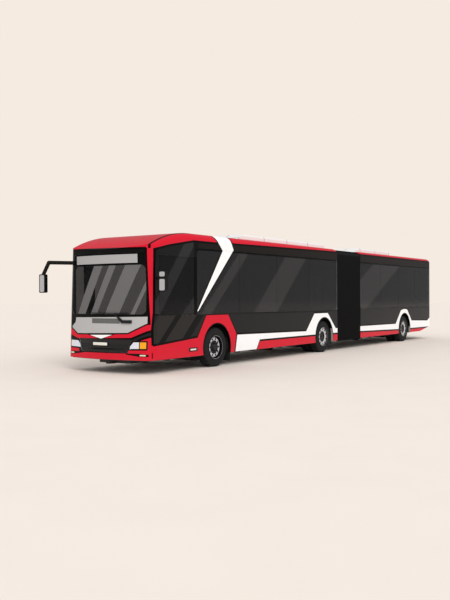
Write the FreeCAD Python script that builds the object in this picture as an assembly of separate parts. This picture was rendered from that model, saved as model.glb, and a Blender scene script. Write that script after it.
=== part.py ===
# Articulated low-floor city bus: a front car on two axles and a rear car on one, joined by a
# turntable and a folding gangway.
# Frame: +Z up from the road, +X to the bus's left, -Y ahead. The origin is on the road under the
# centre of the whole bus, mirrors included. Stations are lengths back from the nose of the bus.
import FreeCAD, Part
import math
import os

V = FreeCAD.Vector

# Sizes of the whole bus
bus_length = 18000.0
bus_width = 2550.0
roof_height = 3200.0
rear_car_length = 6920.0
gangway_length = 1750.0
front_overhang = 2700.0
joint_overhang = 900.0
rear_overhang = 2930.0
skirt_height = 320.0
belt_height = 1290.0
glazing_drop = 350.0
side_drop = 170.0
mirror_ahead = 300.0
mirror_outreach = 430.0

# Walls and clearances
wall_thickness = 60.0
roof_thickness = 100.0
seat_gap = 0.3
running_gap = 8.0
cut_overrun = 400.0

# Nose, dome and tail
bow_radius = 4600.0
corner_radius = 230.0
tail_bow_radius = 15000.0
tail_corner_radius = 170.0
nose_top_setback = 130.0
dome_start_setback = 90.0
dome_drop = 420.0
dome_end_setback = 1700.0
cove_radius = 150.0
header_drop = 460.0
split_mid_setback = 900.0
split_mid_drop = 310.0
split_end_setback = 2000.0
nose_depth = 420.0
tail_depth = 260.0
tail_top_radius = 300.0
tail_top_drop = 150.0
departure_length = 1300.0
departure_rise = 230.0

# Wheels and axles
tyre_radius = 478.0
tyre_width = 275.0
tyre_shoulder = 38.0
tyre_inset = 40.0
bead_radius = 286.0
rim_wall = 9.0
rim_flange = 14.0
rim_flange_width = 12.0
disc_thickness = 14.0
disc_offset = 62.0
disc_dish = 62.0
disc_flat_radius = 236.0
hub_radius = 105.0
hub_cap_radius = 78.0
hub_cap_length = 60.0
hand_hole_count = 10
hand_hole_radius = 27.0
hand_hole_circle = 200.0
spindle_radius = 42.0
spindle_gap = 0.1
twin_gap = 60.0
arch_radius = 570.0
wheelhouse_half_length = 590.0
wheelhouse_wall = 18.0
steer_room = 330.0
wheelhouse_height = 1045.0
beam_height = 75.0
beam_half_depth = 60.0
kingpin_inset = 178.0
kingpin_radius = 24.0
kingpin_gap = 0.1
eye_radius = 52.0
eye_half_height = 85.0
eye_lip = 20.0
yoke_plate = 34.0
yoke_gap = 1.0
yoke_radius = 62.0
steering_arm_length = 215.0
steering_arm_width = 46.0
steering_arm_plate = 22.0
track_rod_height = 168.0
track_rod_radius = 19.0
track_pin_radius = 11.0
track_eye_radius = 27.0

# Underframe and floor
floor_top = 345.0
floor_thickness = 40.0
rail_height = 100.0
rail_width = 80.0
rail_clearance = 26.0
cross_member_length = 70.0
cross_member_height = 60.0
cross_member_setback = 235.0
engine_deck_height = 1040.0
engine_deck_length = 2300.0
tow_plate_half_width = 70.0
tow_plate_thickness = 30.0
tow_plate_reach = 220.0
tow_bore_radius = 20.0
tow_bore_inset = 60.0

# Gangway
turntable_radius = 560.0
turntable_bore = 380.0
turntable_bottom = 150.0
turntable_half_height = 75.0
turntable_flange = 24.0
floor_disc_radius = 835.0
pleat_count = 14
pleat_depth = 72.0
bellows_skin = 10.0
bellows_bottom = 285.0
bellows_corner = 190.0
bellows_inset = 6.0

# Doors
door_opening = 1250.0
door_drop = 745.0
front_door_setback = 560.0
rear_door_setback = 920.0
door_post = 61.0
leaf_thickness = 40.0
leaf_recess = 2.0
leaf_border = 62.0
leaf_top_border = 95.0
leaf_glass_thickness = 8.0
leaf_pin_radius = 12.0
leaf_meeting_gap = 6.0

# Windows
glazing_recess = 8.0
glass_thickness = 6.5
pane_gap = 7.0
window_border = 58.0
driver_window_drop = 560.0
driver_pane_start = 462.0
driver_pane_end = 1850.0
left_bay_count = 4
pane_end_gap = 40.0
rear_bay_length = 1670.0
tail_pane_gap = 310.0
screen_side = 147.0
screen_bottom = 1330.0
screen_drop = 500.0
screen_corner = 70.0
screen_recess = 4.0
screen_thickness = 9.0
rear_screen_side = 345.0
rear_screen_bottom = 1720.0
rear_screen_drop = 560.0

# Front panels and lamps, as distances in from the side of the bus and heights
flap_side = 135.0
flap_top = 1282.0
flap_shoulder = 1110.0
flap_foot_side = 515.0
flap_bottom = 885.0
grille_top = 775.0
grille_top_side = 475.0
grille_foot_side = 575.0
grille_bottom = 485.0
grille_waist_side = 515.0
grille_waist = 640.0
panel_depth = 40.0
grille_recess = 10.0
grille_slat_count = 4
grille_slat = 16.0
lamp_side = 100.0
lamp_length = 399.0
lamp_bottom = 560.0
lamp_top = 742.0
lamp_chamfer = 90.0
lamp_recess = 3.0

# Rear lamps and hatch
tail_lamp_half_width = 60.0
tail_lamp_side = 185.0
tail_lamp_bottom = 900.0
tail_lamp_top = 1560.0
tail_lamp_recess = 3.0
hatch_side = 345.0
hatch_bottom = 640.0
hatch_top = 1560.0
hatch_thickness = 30.0
hatch_gap = 8.0
hatch_strap_width = 70.0

# Fittings
pod_side = 345.0
pod_height = 165.0
pod_corner = 60.0
pod_taper = 420.0
front_pod_lead = 1350.0
front_pod_end_gap = 200.0
rear_pod_lead = 270.0
rear_pod_length = 3100.0
display_side = 325.0
display_drop = 755.0
display_depth = 110.0
display_setback = 275.0
mirror_head_width = 190.0
mirror_head_depth = 90.0
mirror_head_height = 430.0
mirror_head_corner = 32.0
mirror_arm_radius = 19.0
right_mirror_drop = 950.0
right_arm_drop = 680.0
left_mirror_drop = 930.0
left_arm_drop = 1080.0
left_mirror_setback = 160.0
wiper_box_inner = 530.0
wiper_box_outer = 790.0
wiper_box_bottom = 1130.0
wiper_box_top = 1200.0
wiper_arm_end = 320.0
wiper_height = 1352.0
wiper_blade_half = 530.0
wiper_blade_centre = 165.0
wiper_thickness = 16.0
wiper_stand_off = 14.0
seat_width = 430.0
seat_depth = 420.0
seat_height = 440.0
seat_pad = 60.0
seat_back_height = 560.0
seat_back = 50.0
seat_recline = 90.0
seat_pitch = 730.0
seats_abreast = 2
rear_seat_lead = 150.0
seat_rail_height = 70.0
seat_rail_width = 60.0
engine_half_width = 620.0
engine_length = 1250.0
engine_height = 560.0
engine_bottom = 420.0
engine_mount_length = 90.0

# Places worked out from the sizes above
half_width = bus_width / 2
inner_half_width = half_width - wall_thickness
front_car_length = bus_length - rear_car_length - gangway_length
rear_car_start = front_car_length + gangway_length
pivot_station = front_car_length + gangway_length / 2
middle_station = (bus_length - mirror_ahead) / 2
axle_1 = front_overhang
axle_2 = front_car_length - joint_overhang
axle_3 = bus_length - rear_overhang
departure_station = bus_length - departure_length
engine_deck_station = bus_length - engine_deck_length
side_top = roof_height - side_drop
glazing_top = roof_height - glazing_drop
driver_window_top = roof_height - driver_window_drop
header_height = roof_height - header_drop
split_mid_height = roof_height - split_mid_drop
door_top = roof_height - door_drop
screen_top = roof_height - screen_drop
rear_screen_top = roof_height - rear_screen_drop
screen_half_width = half_width - screen_side
rear_screen_half_width = half_width - rear_screen_side
hatch_half_width = half_width - hatch_side
tail_lamp_centre = half_width - tail_lamp_side
floor_bottom = floor_top - floor_thickness
rail_bottom = floor_bottom - rail_height
beam_top = rail_bottom
beam_bottom = beam_top - beam_height
wheel_centre = half_width - tyre_inset - tyre_width / 2
kingpin_place = wheel_centre - kingpin_inset
wheelhouse_inner = kingpin_place - steer_room
twin_upright = wheel_centre - 1.5 * tyre_width - twin_gap - running_gap
twin_inner = twin_upright - hub_radius - 2 * running_gap
rail_centre = twin_inner - rail_clearance - rail_width / 2
cross_member_reach = inner_half_width - cross_member_setback


def evenly(start, end, count):
    return [start + (end - start) * i / count for i in range(count + 1)]


front_pane_end = front_car_length - pane_end_gap
rear_pane_start = rear_car_start + pane_end_gap
rear_pane_end = bus_length - tail_pane_gap
door_stations = (front_door_setback, (axle_1 + axle_2 - door_opening) / 2,
                 rear_car_start + rear_door_setback)
door_ends = [station + door_opening for station in door_stations]
left_front_panes = [driver_pane_start] + evenly(driver_pane_end, front_pane_end, left_bay_count)
left_rear_panes = [rear_pane_start + rear_bay_length * i for i in range(left_bay_count)]
left_rear_panes.append(rear_pane_end)
right_front_panes = (evenly(door_ends[0] + door_post, door_stations[1] - door_post, 2),
                     evenly(door_ends[1] + door_post, front_pane_end, 2))
right_rear_panes = (evenly(rear_pane_start, door_stations[2] - door_post, 1),
                    evenly(door_ends[2] + door_post, rear_pane_end, 3))


def at(station):
    return station - middle_station


def solid_box(x0, x1, station0, station1, z0, z1):
    corner = V(min(x0, x1), at(min(station0, station1)), min(z0, z1))
    return Part.makeBox(abs(x1 - x0), abs(station1 - station0), abs(z1 - z0), corner)


def rod(radius, start, end):
    along = end.sub(start)
    return Part.makeCylinder(radius, along.Length, start, along)


def closed_face(edges):
    return Part.Face(Part.Wire(edges))


def side_prism(points, x0, x1):
    # points are (station, height) pairs of an outline seen from the side
    corners = [V(x0, at(s), z) for s, z in points]
    face = Part.Face(Part.makePolygon(corners + corners[:1]))
    return face.extrude(V(x1 - x0, 0, 0))


def front_prism(points, station0, station1):
    # points are (place across, height) pairs of an outline seen from ahead
    corners = [V(x, at(station0), z) for x, z in points]
    face = Part.Face(Part.makePolygon(corners + corners[:1]))
    return face.extrude(V(0, station1 - station0, 0))


def mirrored(shape):
    return shape.mirror(V(0, 0, 0), V(1, 0, 0))


def joined(shapes):
    whole = shapes[0]
    for shape in shapes[1:]:
        whole = whole.fuse(shape)
    return whole.removeSplitter()


def less(shape, tools):
    for tool in tools:
        shape = shape.cut(tool)
    return shape


def save(name, shapes):
    solids = [solid for shape in shapes for solid in shape.Solids]
    Part.makeCompound(solids).exportStep(os.path.join("parts", name + ".step"))
    volume = sum(solid.Volume for solid in solids)
    print(name, len(solids), "solids", round(volume / 1e6), "litres", all(s.isValid() for s in solids))


# Body shells

def plan_face(height, inset, bow, corner, nose, end, way):
    # An outline seen from above, with a bowed end at the nose station that faces against way
    reach = half_width - inset
    centre_x = half_width - corner
    centre_s = bow - math.sqrt((bow - corner) ** 2 - centre_x ** 2)
    small = corner - inset
    large = bow - inset
    lean = math.atan2(centre_x, bow - centre_s)

    def point(x, s):
        return V(x, at(nose + way * s), height)

    def around(angle, radius, x, s):
        return point(x + radius * math.sin(angle), s - radius * math.cos(angle))

    edges = []
    tangent = around(lean, large, 0, bow)
    mirror_tangent = around(-lean, large, 0, bow)
    edges.append(Part.Arc(mirror_tangent, around(0, large, 0, bow), tangent).toShape())
    middle = (lean + math.pi / 2) / 2
    side = point(reach, centre_s)
    edges.append(Part.Arc(tangent, around(middle, small, centre_x, centre_s), side).toShape())
    far = point(reach, end)
    far_mirror = point(-reach, end)
    mirror_side = point(-reach, centre_s)
    edges.append(Part.makeLine(side, far))
    edges.append(Part.makeLine(far, far_mirror))
    edges.append(Part.makeLine(far_mirror, mirror_side))
    bend = around(-middle, small, -centre_x, centre_s)
    edges.append(Part.Arc(mirror_side, bend, mirror_tangent).toShape())
    return closed_face(edges)


def coved(block, reach, radius, top):
    # Rounds the long top edges of a block at both sides
    edges = []
    for edge in block.Edges:
        ends = [vertex.Point for vertex in edge.Vertexes]
        at_side = all(abs(abs(p.x) - reach) < seat_gap for p in ends)
        reaches_top = any(p.z > top - seat_gap for p in ends)
        if at_side and reaches_top and min(p.z for p in ends) > belt_height:
            edges.append(edge)
    return block.makeFillet(radius, edges)


def front_envelope(inset, roof_inset, low, end):
    # The front car as one solid: a domed profile cut to a bowed and raked plan
    reach = half_width - inset
    top = roof_height - roof_inset
    run = dome_end_setback - dome_start_setback
    radius = (run * run + dome_drop * dome_drop) / (2 * dome_drop) - roof_inset

    def dome(station):
        ahead = dome_end_setback - station
        fall = radius - math.sqrt(radius * radius - ahead * ahead)
        return V(-reach, at(station), top - fall)

    tip = dome(-cut_overrun)
    crown = dome(dome_end_setback)
    back = V(-reach, at(end), top)
    foot = V(-reach, at(end), low)
    toe = V(-reach, at(-cut_overrun), low)
    edges = [Part.Arc(tip, dome(dome_end_setback / 2), crown).toShape()]
    edges += [Part.makeLine(crown, back), Part.makeLine(back, foot)]
    edges += [Part.makeLine(foot, toe), Part.makeLine(toe, tip)]
    block = closed_face(edges).extrude(V(2 * reach, 0, 0))
    block = coved(block, reach, cove_radius - inset / 2, top)
    plan = plan_face(-roof_height, inset, bow_radius, corner_radius, 0, end + roof_height, 1)
    column = plan.extrude(V(0, 0, 3 * roof_height))
    rake = math.degrees(math.atan(nose_top_setback / roof_height))
    column.rotate(V(0, at(0), 0), V(1, 0, 0), -rake)
    return block.common(column)


def rear_envelope(inset, roof_inset, low, start):
    # The rear car as one solid: a profile that rounds down to the tail, cut to a bowed plan
    reach = half_width - inset
    top = roof_height - roof_inset
    radius = tail_top_radius - roof_inset
    turn = math.acos(1 - tail_top_drop / tail_top_radius)
    spring = bus_length - tail_top_radius * math.sin(turn)

    def shoulder(angle):
        return V(-reach, at(spring + radius * math.sin(angle)), top - radius * (1 - math.cos(angle)))

    crown = shoulder(0)
    brow = shoulder(turn)
    past = brow.add(V(0, cut_overrun * math.cos(turn), -cut_overrun * math.sin(turn)))
    heel_height = low if roof_inset else low + departure_rise
    heel = V(-reach, past.y, heel_height)
    knee = V(-reach, at(departure_station), low)
    toe = V(-reach, at(start), low)
    back = V(-reach, at(start), top)
    edges = [Part.Arc(crown, shoulder(turn / 2), brow).toShape()]
    edges += [Part.makeLine(brow, past), Part.makeLine(past, heel), Part.makeLine(heel, knee)]
    edges += [Part.makeLine(knee, toe), Part.makeLine(toe, back), Part.makeLine(back, crown)]
    block = closed_face(edges).extrude(V(2 * reach, 0, 0))
    block = coved(block, reach, cove_radius - inset / 2, top)
    plan = plan_face(-roof_height, inset, tail_bow_radius, tail_corner_radius, bus_length,
                     bus_length - start + roof_height, -1)
    return block.common(plan.extrude(V(0, 0, 3 * roof_height)))


def front_shell():
    outer = front_envelope(0, 0, skirt_height, front_car_length)
    inner = front_envelope(wall_thickness, roof_thickness, skirt_height - cut_overrun,
                           front_car_length + cut_overrun)
    return outer.cut(inner)


def rear_shell():
    outer = rear_envelope(0, 0, skirt_height, rear_car_start)
    inner = rear_envelope(wall_thickness, roof_thickness, skirt_height - cut_overrun,
                          rear_car_start - cut_overrun)
    return outer.cut(inner)


def front_roof_tool():
    # Everything above the joint between the roof and the sides, which drops towards the nose
    x = bus_width
    nose = V(-x, at(-cut_overrun), header_height)
    dip = V(-x, at(dome_start_setback), header_height)
    middle = V(-x, at(split_mid_setback), split_mid_height)
    flat = V(-x, at(split_end_setback), side_top)
    back = V(-x, at(front_car_length + cut_overrun), side_top)
    high = V(0, 0, roof_height)
    edges = [Part.makeLine(nose, dip), Part.Arc(dip, middle, flat).toShape()]
    edges += [Part.makeLine(flat, back), Part.makeLine(back, back.add(high))]
    edges += [Part.makeLine(back.add(high), nose.add(high)), Part.makeLine(nose.add(high), nose)]
    return closed_face(edges).extrude(V(2 * x, 0, 0))


def arch_tool(station):
    # The opening of a wheel arch, right across the bus
    centre = V(-bus_width, at(station), tyre_radius)
    round_top = Part.makeCylinder(arch_radius, 2 * bus_width, centre, V(1, 0, 0))
    below = solid_box(-bus_width, bus_width, station - arch_radius, station + arch_radius,
                      -cut_overrun, tyre_radius)
    return round_top.fuse(below)


def pane_spans(stations):
    return [(a + pane_gap / 2, b - pane_gap / 2) for a, b in zip(stations[:-1], stations[1:])]


def pane_top(span):
    return driver_window_top if span[0] < split_mid_setback else glazing_top


def window_tools(stations, side):
    # The shallow seats that a row of bonded panes lies in, and the holes behind them
    tools = []
    outside = side * (half_width + cut_overrun)
    for span in pane_spans(stations):
        tools.append(solid_box(side * (half_width - glazing_recess), outside,
                               span[0] - pane_gap / 2, span[1] + pane_gap / 2, belt_height,
                               pane_top(span)))
        tools.append(solid_box(side * (inner_half_width - cut_overrun), outside,
                               span[0] + window_border, span[1] - window_border,
                               belt_height + window_border, pane_top(span) - window_border))
    return tools


def panes(stations, side):
    solids = []
    inner = side * (half_width - glazing_recess)
    for span in pane_spans(stations):
        solids.append(solid_box(inner, inner + side * glass_thickness, span[0], span[1],
                                belt_height + pane_gap / 2, pane_top(span) - pane_gap / 2))
    return solids


def door_tool(station):
    # A door opening through the right-hand wall and its skirt
    return solid_box(-half_width - cut_overrun, -inner_half_width + cut_overrun, station,
                     station + door_opening, skirt_height - cut_overrun, door_top)


def halves(shape):
    parts = []
    for side in (1, -1):
        half = solid_box(0, side * bus_width, -cut_overrun, bus_length + cut_overrun,
                         -cut_overrun, 2 * roof_height)
        parts.append(shape.common(half))
    return parts


def front_car_walls(shell):
    sides = shell.cut(front_roof_tool())
    behind_nose = solid_box(-bus_width, bus_width, nose_depth, front_car_length + cut_overrun,
                            -cut_overrun, roof_height + cut_overrun)
    sides = less(sides.common(behind_nose), [arch_tool(axle_1), arch_tool(axle_2)])
    left, right = halves(sides)
    left = less(left, window_tools(left_front_panes, 1))
    for row in right_front_panes:
        right = less(right, window_tools(row, -1))
    right = less(right, [door_tool(door_stations[0]), door_tool(door_stations[1])])
    return left, right


def rear_car_walls(shell):
    roof_part = solid_box(-bus_width, bus_width, 0, bus_length + cut_overrun, side_top,
                          2 * roof_height)
    ahead_of_tail = solid_box(-bus_width, bus_width, 0, bus_length - tail_depth, -cut_overrun,
                              roof_height + cut_overrun)
    sides = less(shell.cut(roof_part).common(ahead_of_tail), [arch_tool(axle_3)])
    left, right = halves(sides)
    left = less(left, window_tools(left_rear_panes, 1))
    for row in right_rear_panes:
        right = less(right, window_tools(row, -1))
    right = less(right, [door_tool(door_stations[2])])
    return left, right


# Nose

def nose_plug(points, out_inset, in_inset):
    # A panel that follows the nose between two depths under its skin
    outer = front_envelope(out_inset, out_inset, skirt_height, front_car_length)
    inner = front_envelope(in_inset, in_inset, skirt_height - cut_overrun, front_car_length)
    slab = front_prism(points, -cut_overrun, nose_depth)
    return outer.cut(inner).common(slab)


def grown(points, amount):
    # The same outline moved outwards, or inwards for a negative amount
    wire = Part.makePolygon([V(x, 0, z) for x, z in points + points[:1]])
    moved = Part.Face(wire).makeOffset2D(amount, 2)
    return [(v.Point.x, v.Point.z) for v in moved.OuterWire.OrderedVertexes]


def screen_outline():
    w = screen_half_width
    c = screen_corner
    cut = [(w, screen_bottom + c), (w, screen_top - c), (w - c, screen_top)]
    other = [(-x, z) for x, z in reversed(cut)]
    base = [(-w, screen_bottom + c), (-w + c, screen_bottom), (w - c, screen_bottom)]
    return cut + other[:2] + base


def flap_outline():
    edge = half_width - flap_side
    right = [(half_width - flap_foot_side, flap_bottom), (edge, flap_shoulder), (edge, flap_top)]
    return right + [(-x, z) for x, z in reversed(right)]


def grille_outline():
    right = [(half_width - grille_foot_side, grille_bottom),
             (half_width - grille_waist_side, grille_waist),
             (half_width - grille_top_side, grille_top)]
    return right + [(-x, z) for x, z in reversed(right)]


def lamp_outline():
    outer = half_width - lamp_side
    inner = outer - lamp_length
    return [(inner + lamp_chamfer, lamp_top), (outer, lamp_top), (outer, lamp_bottom),
            (inner, lamp_bottom), (inner, (lamp_bottom + lamp_top) / 2)]


def nose_mask(shell):
    nose = shell.cut(front_roof_tool())
    ahead = solid_box(-bus_width, bus_width, -cut_overrun, nose_depth, -cut_overrun,
                      roof_height + cut_overrun)
    nose = nose.common(ahead)
    holes = [screen_outline(), flap_outline(), grille_outline(), lamp_outline()]
    holes.append([(-x, z) for x, z in lamp_outline()])
    return less(nose, [front_prism(hole, -cut_overrun, nose_depth) for hole in holes])


def grille():
    body = nose_plug(grown(grille_outline(), -seat_gap), grille_recess, wall_thickness)
    pitch = (grille_waist - grille_bottom) / grille_slat_count
    slots = []
    for i in range(grille_slat_count):
        low = grille_bottom + pitch * (i + 1)
        slots.append((low, low + grille_slat))
    outer = front_envelope(grille_recess + grille_slat, grille_recess + grille_slat, skirt_height,
                           front_car_length)
    skin = body.cut(outer)
    reach = half_width - grille_foot_side
    bars = [skin.common(solid_box(-reach, reach, -cut_overrun, nose_depth, low, high))
            for low, high in slots]
    return less(body, bars)


def headlamps():
    left = nose_plug(grown(lamp_outline(), -seat_gap), lamp_recess, wall_thickness)
    return [left, mirrored(left)]


def front_flap():
    return nose_plug(grown(flap_outline(), -seat_gap), 0, panel_depth)


def windscreen():
    return nose_plug(grown(screen_outline(), -seat_gap), screen_recess,
                     screen_recess + screen_thickness)


def destination_display():
    # Hung from the dome behind the top of the windscreen
    reach = half_width - display_side
    box = solid_box(-reach, reach, display_setback, display_setback + display_depth,
                    roof_height - display_drop, roof_height)
    return box.common(front_envelope(wall_thickness + seat_gap, roof_thickness + seat_gap,
                                     skirt_height, front_car_length))


def wiper():
    # One arm rises from its box on the flap and holds the blade level on the glass
    half = wiper_thickness / 2
    box = [(wiper_box_inner, wiper_box_bottom), (wiper_box_outer, wiper_box_bottom),
           (wiper_box_outer, wiper_box_top), (wiper_box_inner, wiper_box_top)]
    arm = [(wiper_box_inner, wiper_box_bottom + half), (wiper_box_inner + 4 * half, wiper_box_top),
           (wiper_arm_end + 2 * half, wiper_height + half), (wiper_arm_end, wiper_height + half)]
    blade = [(wiper_blade_centre - wiper_blade_half, wiper_height - half),
             (wiper_blade_centre + wiper_blade_half, wiper_height - half),
             (wiper_blade_centre + wiper_blade_half, wiper_height + half),
             (wiper_blade_centre - wiper_blade_half, wiper_height + half)]
    off = -wiper_stand_off
    return joined([nose_plug(box, off - wiper_thickness, 0),
                   nose_plug(arm, off - wiper_thickness, off),
                   nose_plug(blade, off - half, screen_recess - seat_gap)])


# Mirrors

def mirror_head(x, station, top):
    half = mirror_head_width / 2
    head = solid_box(x - half, x + half, station, station + mirror_head_depth,
                     top - mirror_head_height, top)
    uprights = [e for e in head.Edges if e.tangentAt(0).isEqual(V(0, 1, 0), seat_gap)
                or e.tangentAt(0).isEqual(V(0, -1, 0), seat_gap)]
    return head.makeFillet(mirror_head_corner, uprights)


def bent_arm(points):
    pieces = [rod(mirror_arm_radius, a, b) for a, b in zip(points[:-1], points[1:])]
    knees = [Part.makeSphere(mirror_arm_radius, p) for p in points[1:-1]]
    return joined(pieces + knees)


def mirrors():
    reach = half_width + mirror_outreach - mirror_head_width / 2
    mid_depth = mirror_head_depth / 2
    right_station = -mirror_ahead
    right_top = roof_height - right_mirror_drop
    right_head = mirror_head(-reach, right_station, right_top)
    high = roof_height - right_arm_drop
    right_arm = bent_arm([V(-half_width + corner_radius, at(nose_depth), high),
                          V(-reach + mirror_head_width, at(right_station + mid_depth), high),
                          V(-reach, at(right_station + mid_depth),
                            right_top - mirror_head_corner)])
    left_head = mirror_head(reach, left_mirror_setback, roof_height - left_mirror_drop)
    low = roof_height - left_arm_drop
    left_arm = bent_arm([V(inner_half_width, at(nose_depth), low),
                         V(reach, at(left_mirror_setback + mid_depth), low)])
    skin = front_envelope(0, 0, skirt_height, front_car_length)
    return [joined([right_head, right_arm]).cut(skin), joined([left_head, left_arm]).cut(skin)]


# Wheels

def turned(points, x0, station):
    # A ring or disc turned about an axle line from (distance outwards, radius) points
    corners = [V(x0 + x, at(station), tyre_radius + r) for x, r in points]
    face = Part.Face(Part.makePolygon(corners + corners[:1]))
    return face.revolve(V(0, at(station), tyre_radius), V(1, 0, 0), 360)


def tyre(centre, station):
    half = tyre_width / 2
    bead = bead_radius + seat_gap
    shoulder = tyre_shoulder
    wall = (tyre_radius + bead) / 2
    bead_half = half - rim_flange_width - seat_gap
    lip = bead + rim_flange
    points = [(-bead_half, bead), (-bead_half, lip), (-half, wall),
              (-half + shoulder / 3, tyre_radius - shoulder), (-half + shoulder, tyre_radius),
              (half - shoulder, tyre_radius), (half - shoulder / 3, tyre_radius - shoulder),
              (half, wall), (bead_half, lip), (bead_half, bead)]
    return turned(points, centre, station)


def rim(centre, station, barrel_place, disc_place):
    # A hoop with a dished disc that runs from its barrel to the hub face at the disc's place
    half = tyre_width / 2 - rim_flange_width - seat_gap
    edge = half + rim_flange_width
    outer = bead_radius
    inner = bead_radius - rim_wall
    flange = bead_radius + rim_flange
    barrel = [(-edge, inner), (-edge, flange), (-half - seat_gap, flange), (-half - seat_gap, outer),
              (half + seat_gap, outer), (half + seat_gap, flange), (edge, flange), (edge, inner)]
    hoop = turned(barrel, centre, station)
    face = disc_place + disc_thickness
    plate = turned([(disc_place, 0), (disc_place, disc_flat_radius), (barrel_place, inner),
                    (barrel_place + disc_thickness, inner), (face, disc_flat_radius), (face, 0)],
                   centre, station)
    holes = []
    for i in range(hand_hole_count):
        angle = 2 * math.pi * i / hand_hole_count
        middle = V(centre + disc_place - cut_overrun / 2,
                   at(station) + hand_hole_circle * math.cos(angle),
                   tyre_radius + hand_hole_circle * math.sin(angle))
        holes.append(Part.makeCylinder(hand_hole_radius, cut_overrun, middle, V(1, 0, 0)))
    return hoop, less(plate, holes)


def front_wheel(side, station):
    centre = wheel_centre
    hoop, plate = rim(centre, station, disc_offset - disc_dish, disc_offset)
    hub = turned([(0, 0), (0, hub_radius), (disc_offset + disc_thickness, hub_radius),
                  (disc_offset + hub_cap_length, hub_cap_radius), (disc_offset + hub_cap_length, 0)],
                 centre, station)
    bore = turned([(0, 0), (0, spindle_radius + spindle_gap),
                   (disc_offset, spindle_radius + spindle_gap), (disc_offset, 0)], centre, station)
    wheel = joined([hoop, plate, hub]).cut(bore)
    rubber = tyre(centre, station)
    if side < 0:
        return mirrored(wheel), mirrored(rubber)
    return wheel, rubber


def twin_wheel(side, station):
    outer_centre = wheel_centre
    inner_centre = wheel_centre - tyre_width - twin_gap
    between = (outer_centre + inner_centre) / 2
    offset = between - inner_centre
    outer_hoop, outer_plate = rim(outer_centre, station, disc_dish - offset, -offset)
    inner_hoop, inner_plate = rim(inner_centre, station, offset - disc_dish - disc_thickness,
                                  offset - disc_thickness)
    hub_start = inner_centre - between
    hub = turned([(hub_start, 0), (hub_start, hub_radius), (tyre_width / 2, hub_radius),
                  (tyre_width / 2 + hub_cap_length / 2, hub_cap_radius),
                  (tyre_width / 2 + hub_cap_length / 2, 0)], between, station)
    bore = turned([(hub_start, 0), (hub_start, spindle_radius + spindle_gap),
                   (0, spindle_radius + spindle_gap), (0, 0)], between, station)
    wheel = joined([outer_hoop, outer_plate, inner_hoop, inner_plate, hub]).cut(bore)
    rubbers = [tyre(outer_centre, station), tyre(inner_centre, station)]
    if side < 0:
        return mirrored(wheel), [mirrored(r) for r in rubbers]
    return wheel, rubbers


# Axles and steering

def front_axle():
    # A dropped beam with an upright eye and a kingpin at each end
    station = axle_1
    eye_inner = kingpin_place - eye_radius
    low = tyre_radius - eye_half_height
    high = tyre_radius + eye_half_height
    drop = eye_inner - (low - beam_bottom)
    root = eye_inner + eye_radius / 2
    yoke_clear = kingpin_place - yoke_radius - 2 * running_gap
    points = [(root, low + eye_lip), (root, high - eye_lip), (eye_inner - eye_radius, high - eye_lip),
              (drop - eye_radius, beam_top), (0, beam_top), (0, beam_bottom),
              (drop + eye_radius, beam_bottom), (yoke_clear, low + eye_lip)]
    arm = front_prism(points, station - beam_half_depth, station + beam_half_depth)
    foot = V(kingpin_place, at(station), low)
    eye = Part.makeCylinder(eye_radius, high - low, foot)
    reach = yoke_gap + yoke_plate
    pin = Part.makeCylinder(kingpin_radius, high - low + 2 * reach, foot.sub(V(0, 0, reach)))
    half = joined([arm, eye, pin])
    return joined([half, mirrored(half)])


def knuckle():
    # The left steering knuckle: a yoke over the eye, a stub spindle and a steering arm
    station = axle_1
    low = tyre_radius - eye_half_height - yoke_gap
    high = tyre_radius + eye_half_height + yoke_gap
    back_inner = kingpin_place + eye_radius + yoke_gap
    back_outer = wheel_centre - seat_gap
    parts = []
    for z in (low - yoke_plate, high):
        plate = Part.makeCylinder(yoke_radius, yoke_plate, V(kingpin_place, at(station), z))
        tongue = solid_box(kingpin_place, back_outer, station - yoke_radius, station + yoke_radius,
                           z, z + yoke_plate)
        parts += [plate, tongue]
    parts.append(solid_box(back_inner, back_outer, station - yoke_radius, station + yoke_radius,
                           low - yoke_plate, high + yoke_plate))
    centre = V(back_inner, at(station), tyre_radius)
    parts.append(rod(spindle_radius, centre, V(wheel_centre + disc_offset - seat_gap, centre.y,
                                               centre.z)))
    arm_end = station + steering_arm_length
    half = steering_arm_width / 2
    arm_top = track_rod_height + track_eye_radius + running_gap + steering_arm_plate
    parts.append(solid_box(kingpin_place - half, kingpin_place + half, station + eye_radius / 2,
                           station + yoke_radius, arm_top - steering_arm_plate, low))
    parts.append(solid_box(kingpin_place - half, kingpin_place + half, station + eye_radius / 2,
                           arm_end, arm_top - steering_arm_plate, arm_top))
    tip = V(kingpin_place, at(arm_end), arm_top - steering_arm_plate)
    parts.append(Part.makeCylinder(half, steering_arm_plate, tip))
    pin_bottom = track_rod_height - track_eye_radius
    parts.append(Part.makeCylinder(track_pin_radius, arm_top - pin_bottom,
                                   V(kingpin_place, at(arm_end), pin_bottom)))
    bore = Part.makeCylinder(kingpin_radius + kingpin_gap, roof_height,
                             V(kingpin_place, at(station), low - yoke_plate))
    return joined(parts).cut(bore)


def track_rod():
    station = axle_1 + steering_arm_length
    y = at(station)
    parts = [rod(track_rod_radius, V(-kingpin_place, y, track_rod_height),
                 V(kingpin_place, y, track_rod_height))]
    for x in (-kingpin_place, kingpin_place):
        foot = V(x, y, track_rod_height - track_eye_radius)
        parts.append(Part.makeCylinder(track_eye_radius, 2 * track_eye_radius, foot))
    body = joined(parts)
    holes = []
    for x in (-kingpin_place, kingpin_place):
        foot = V(x, y, 0)
        holes.append(Part.makeCylinder(track_pin_radius + kingpin_gap, floor_top, foot))
    return less(body, holes)


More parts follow.
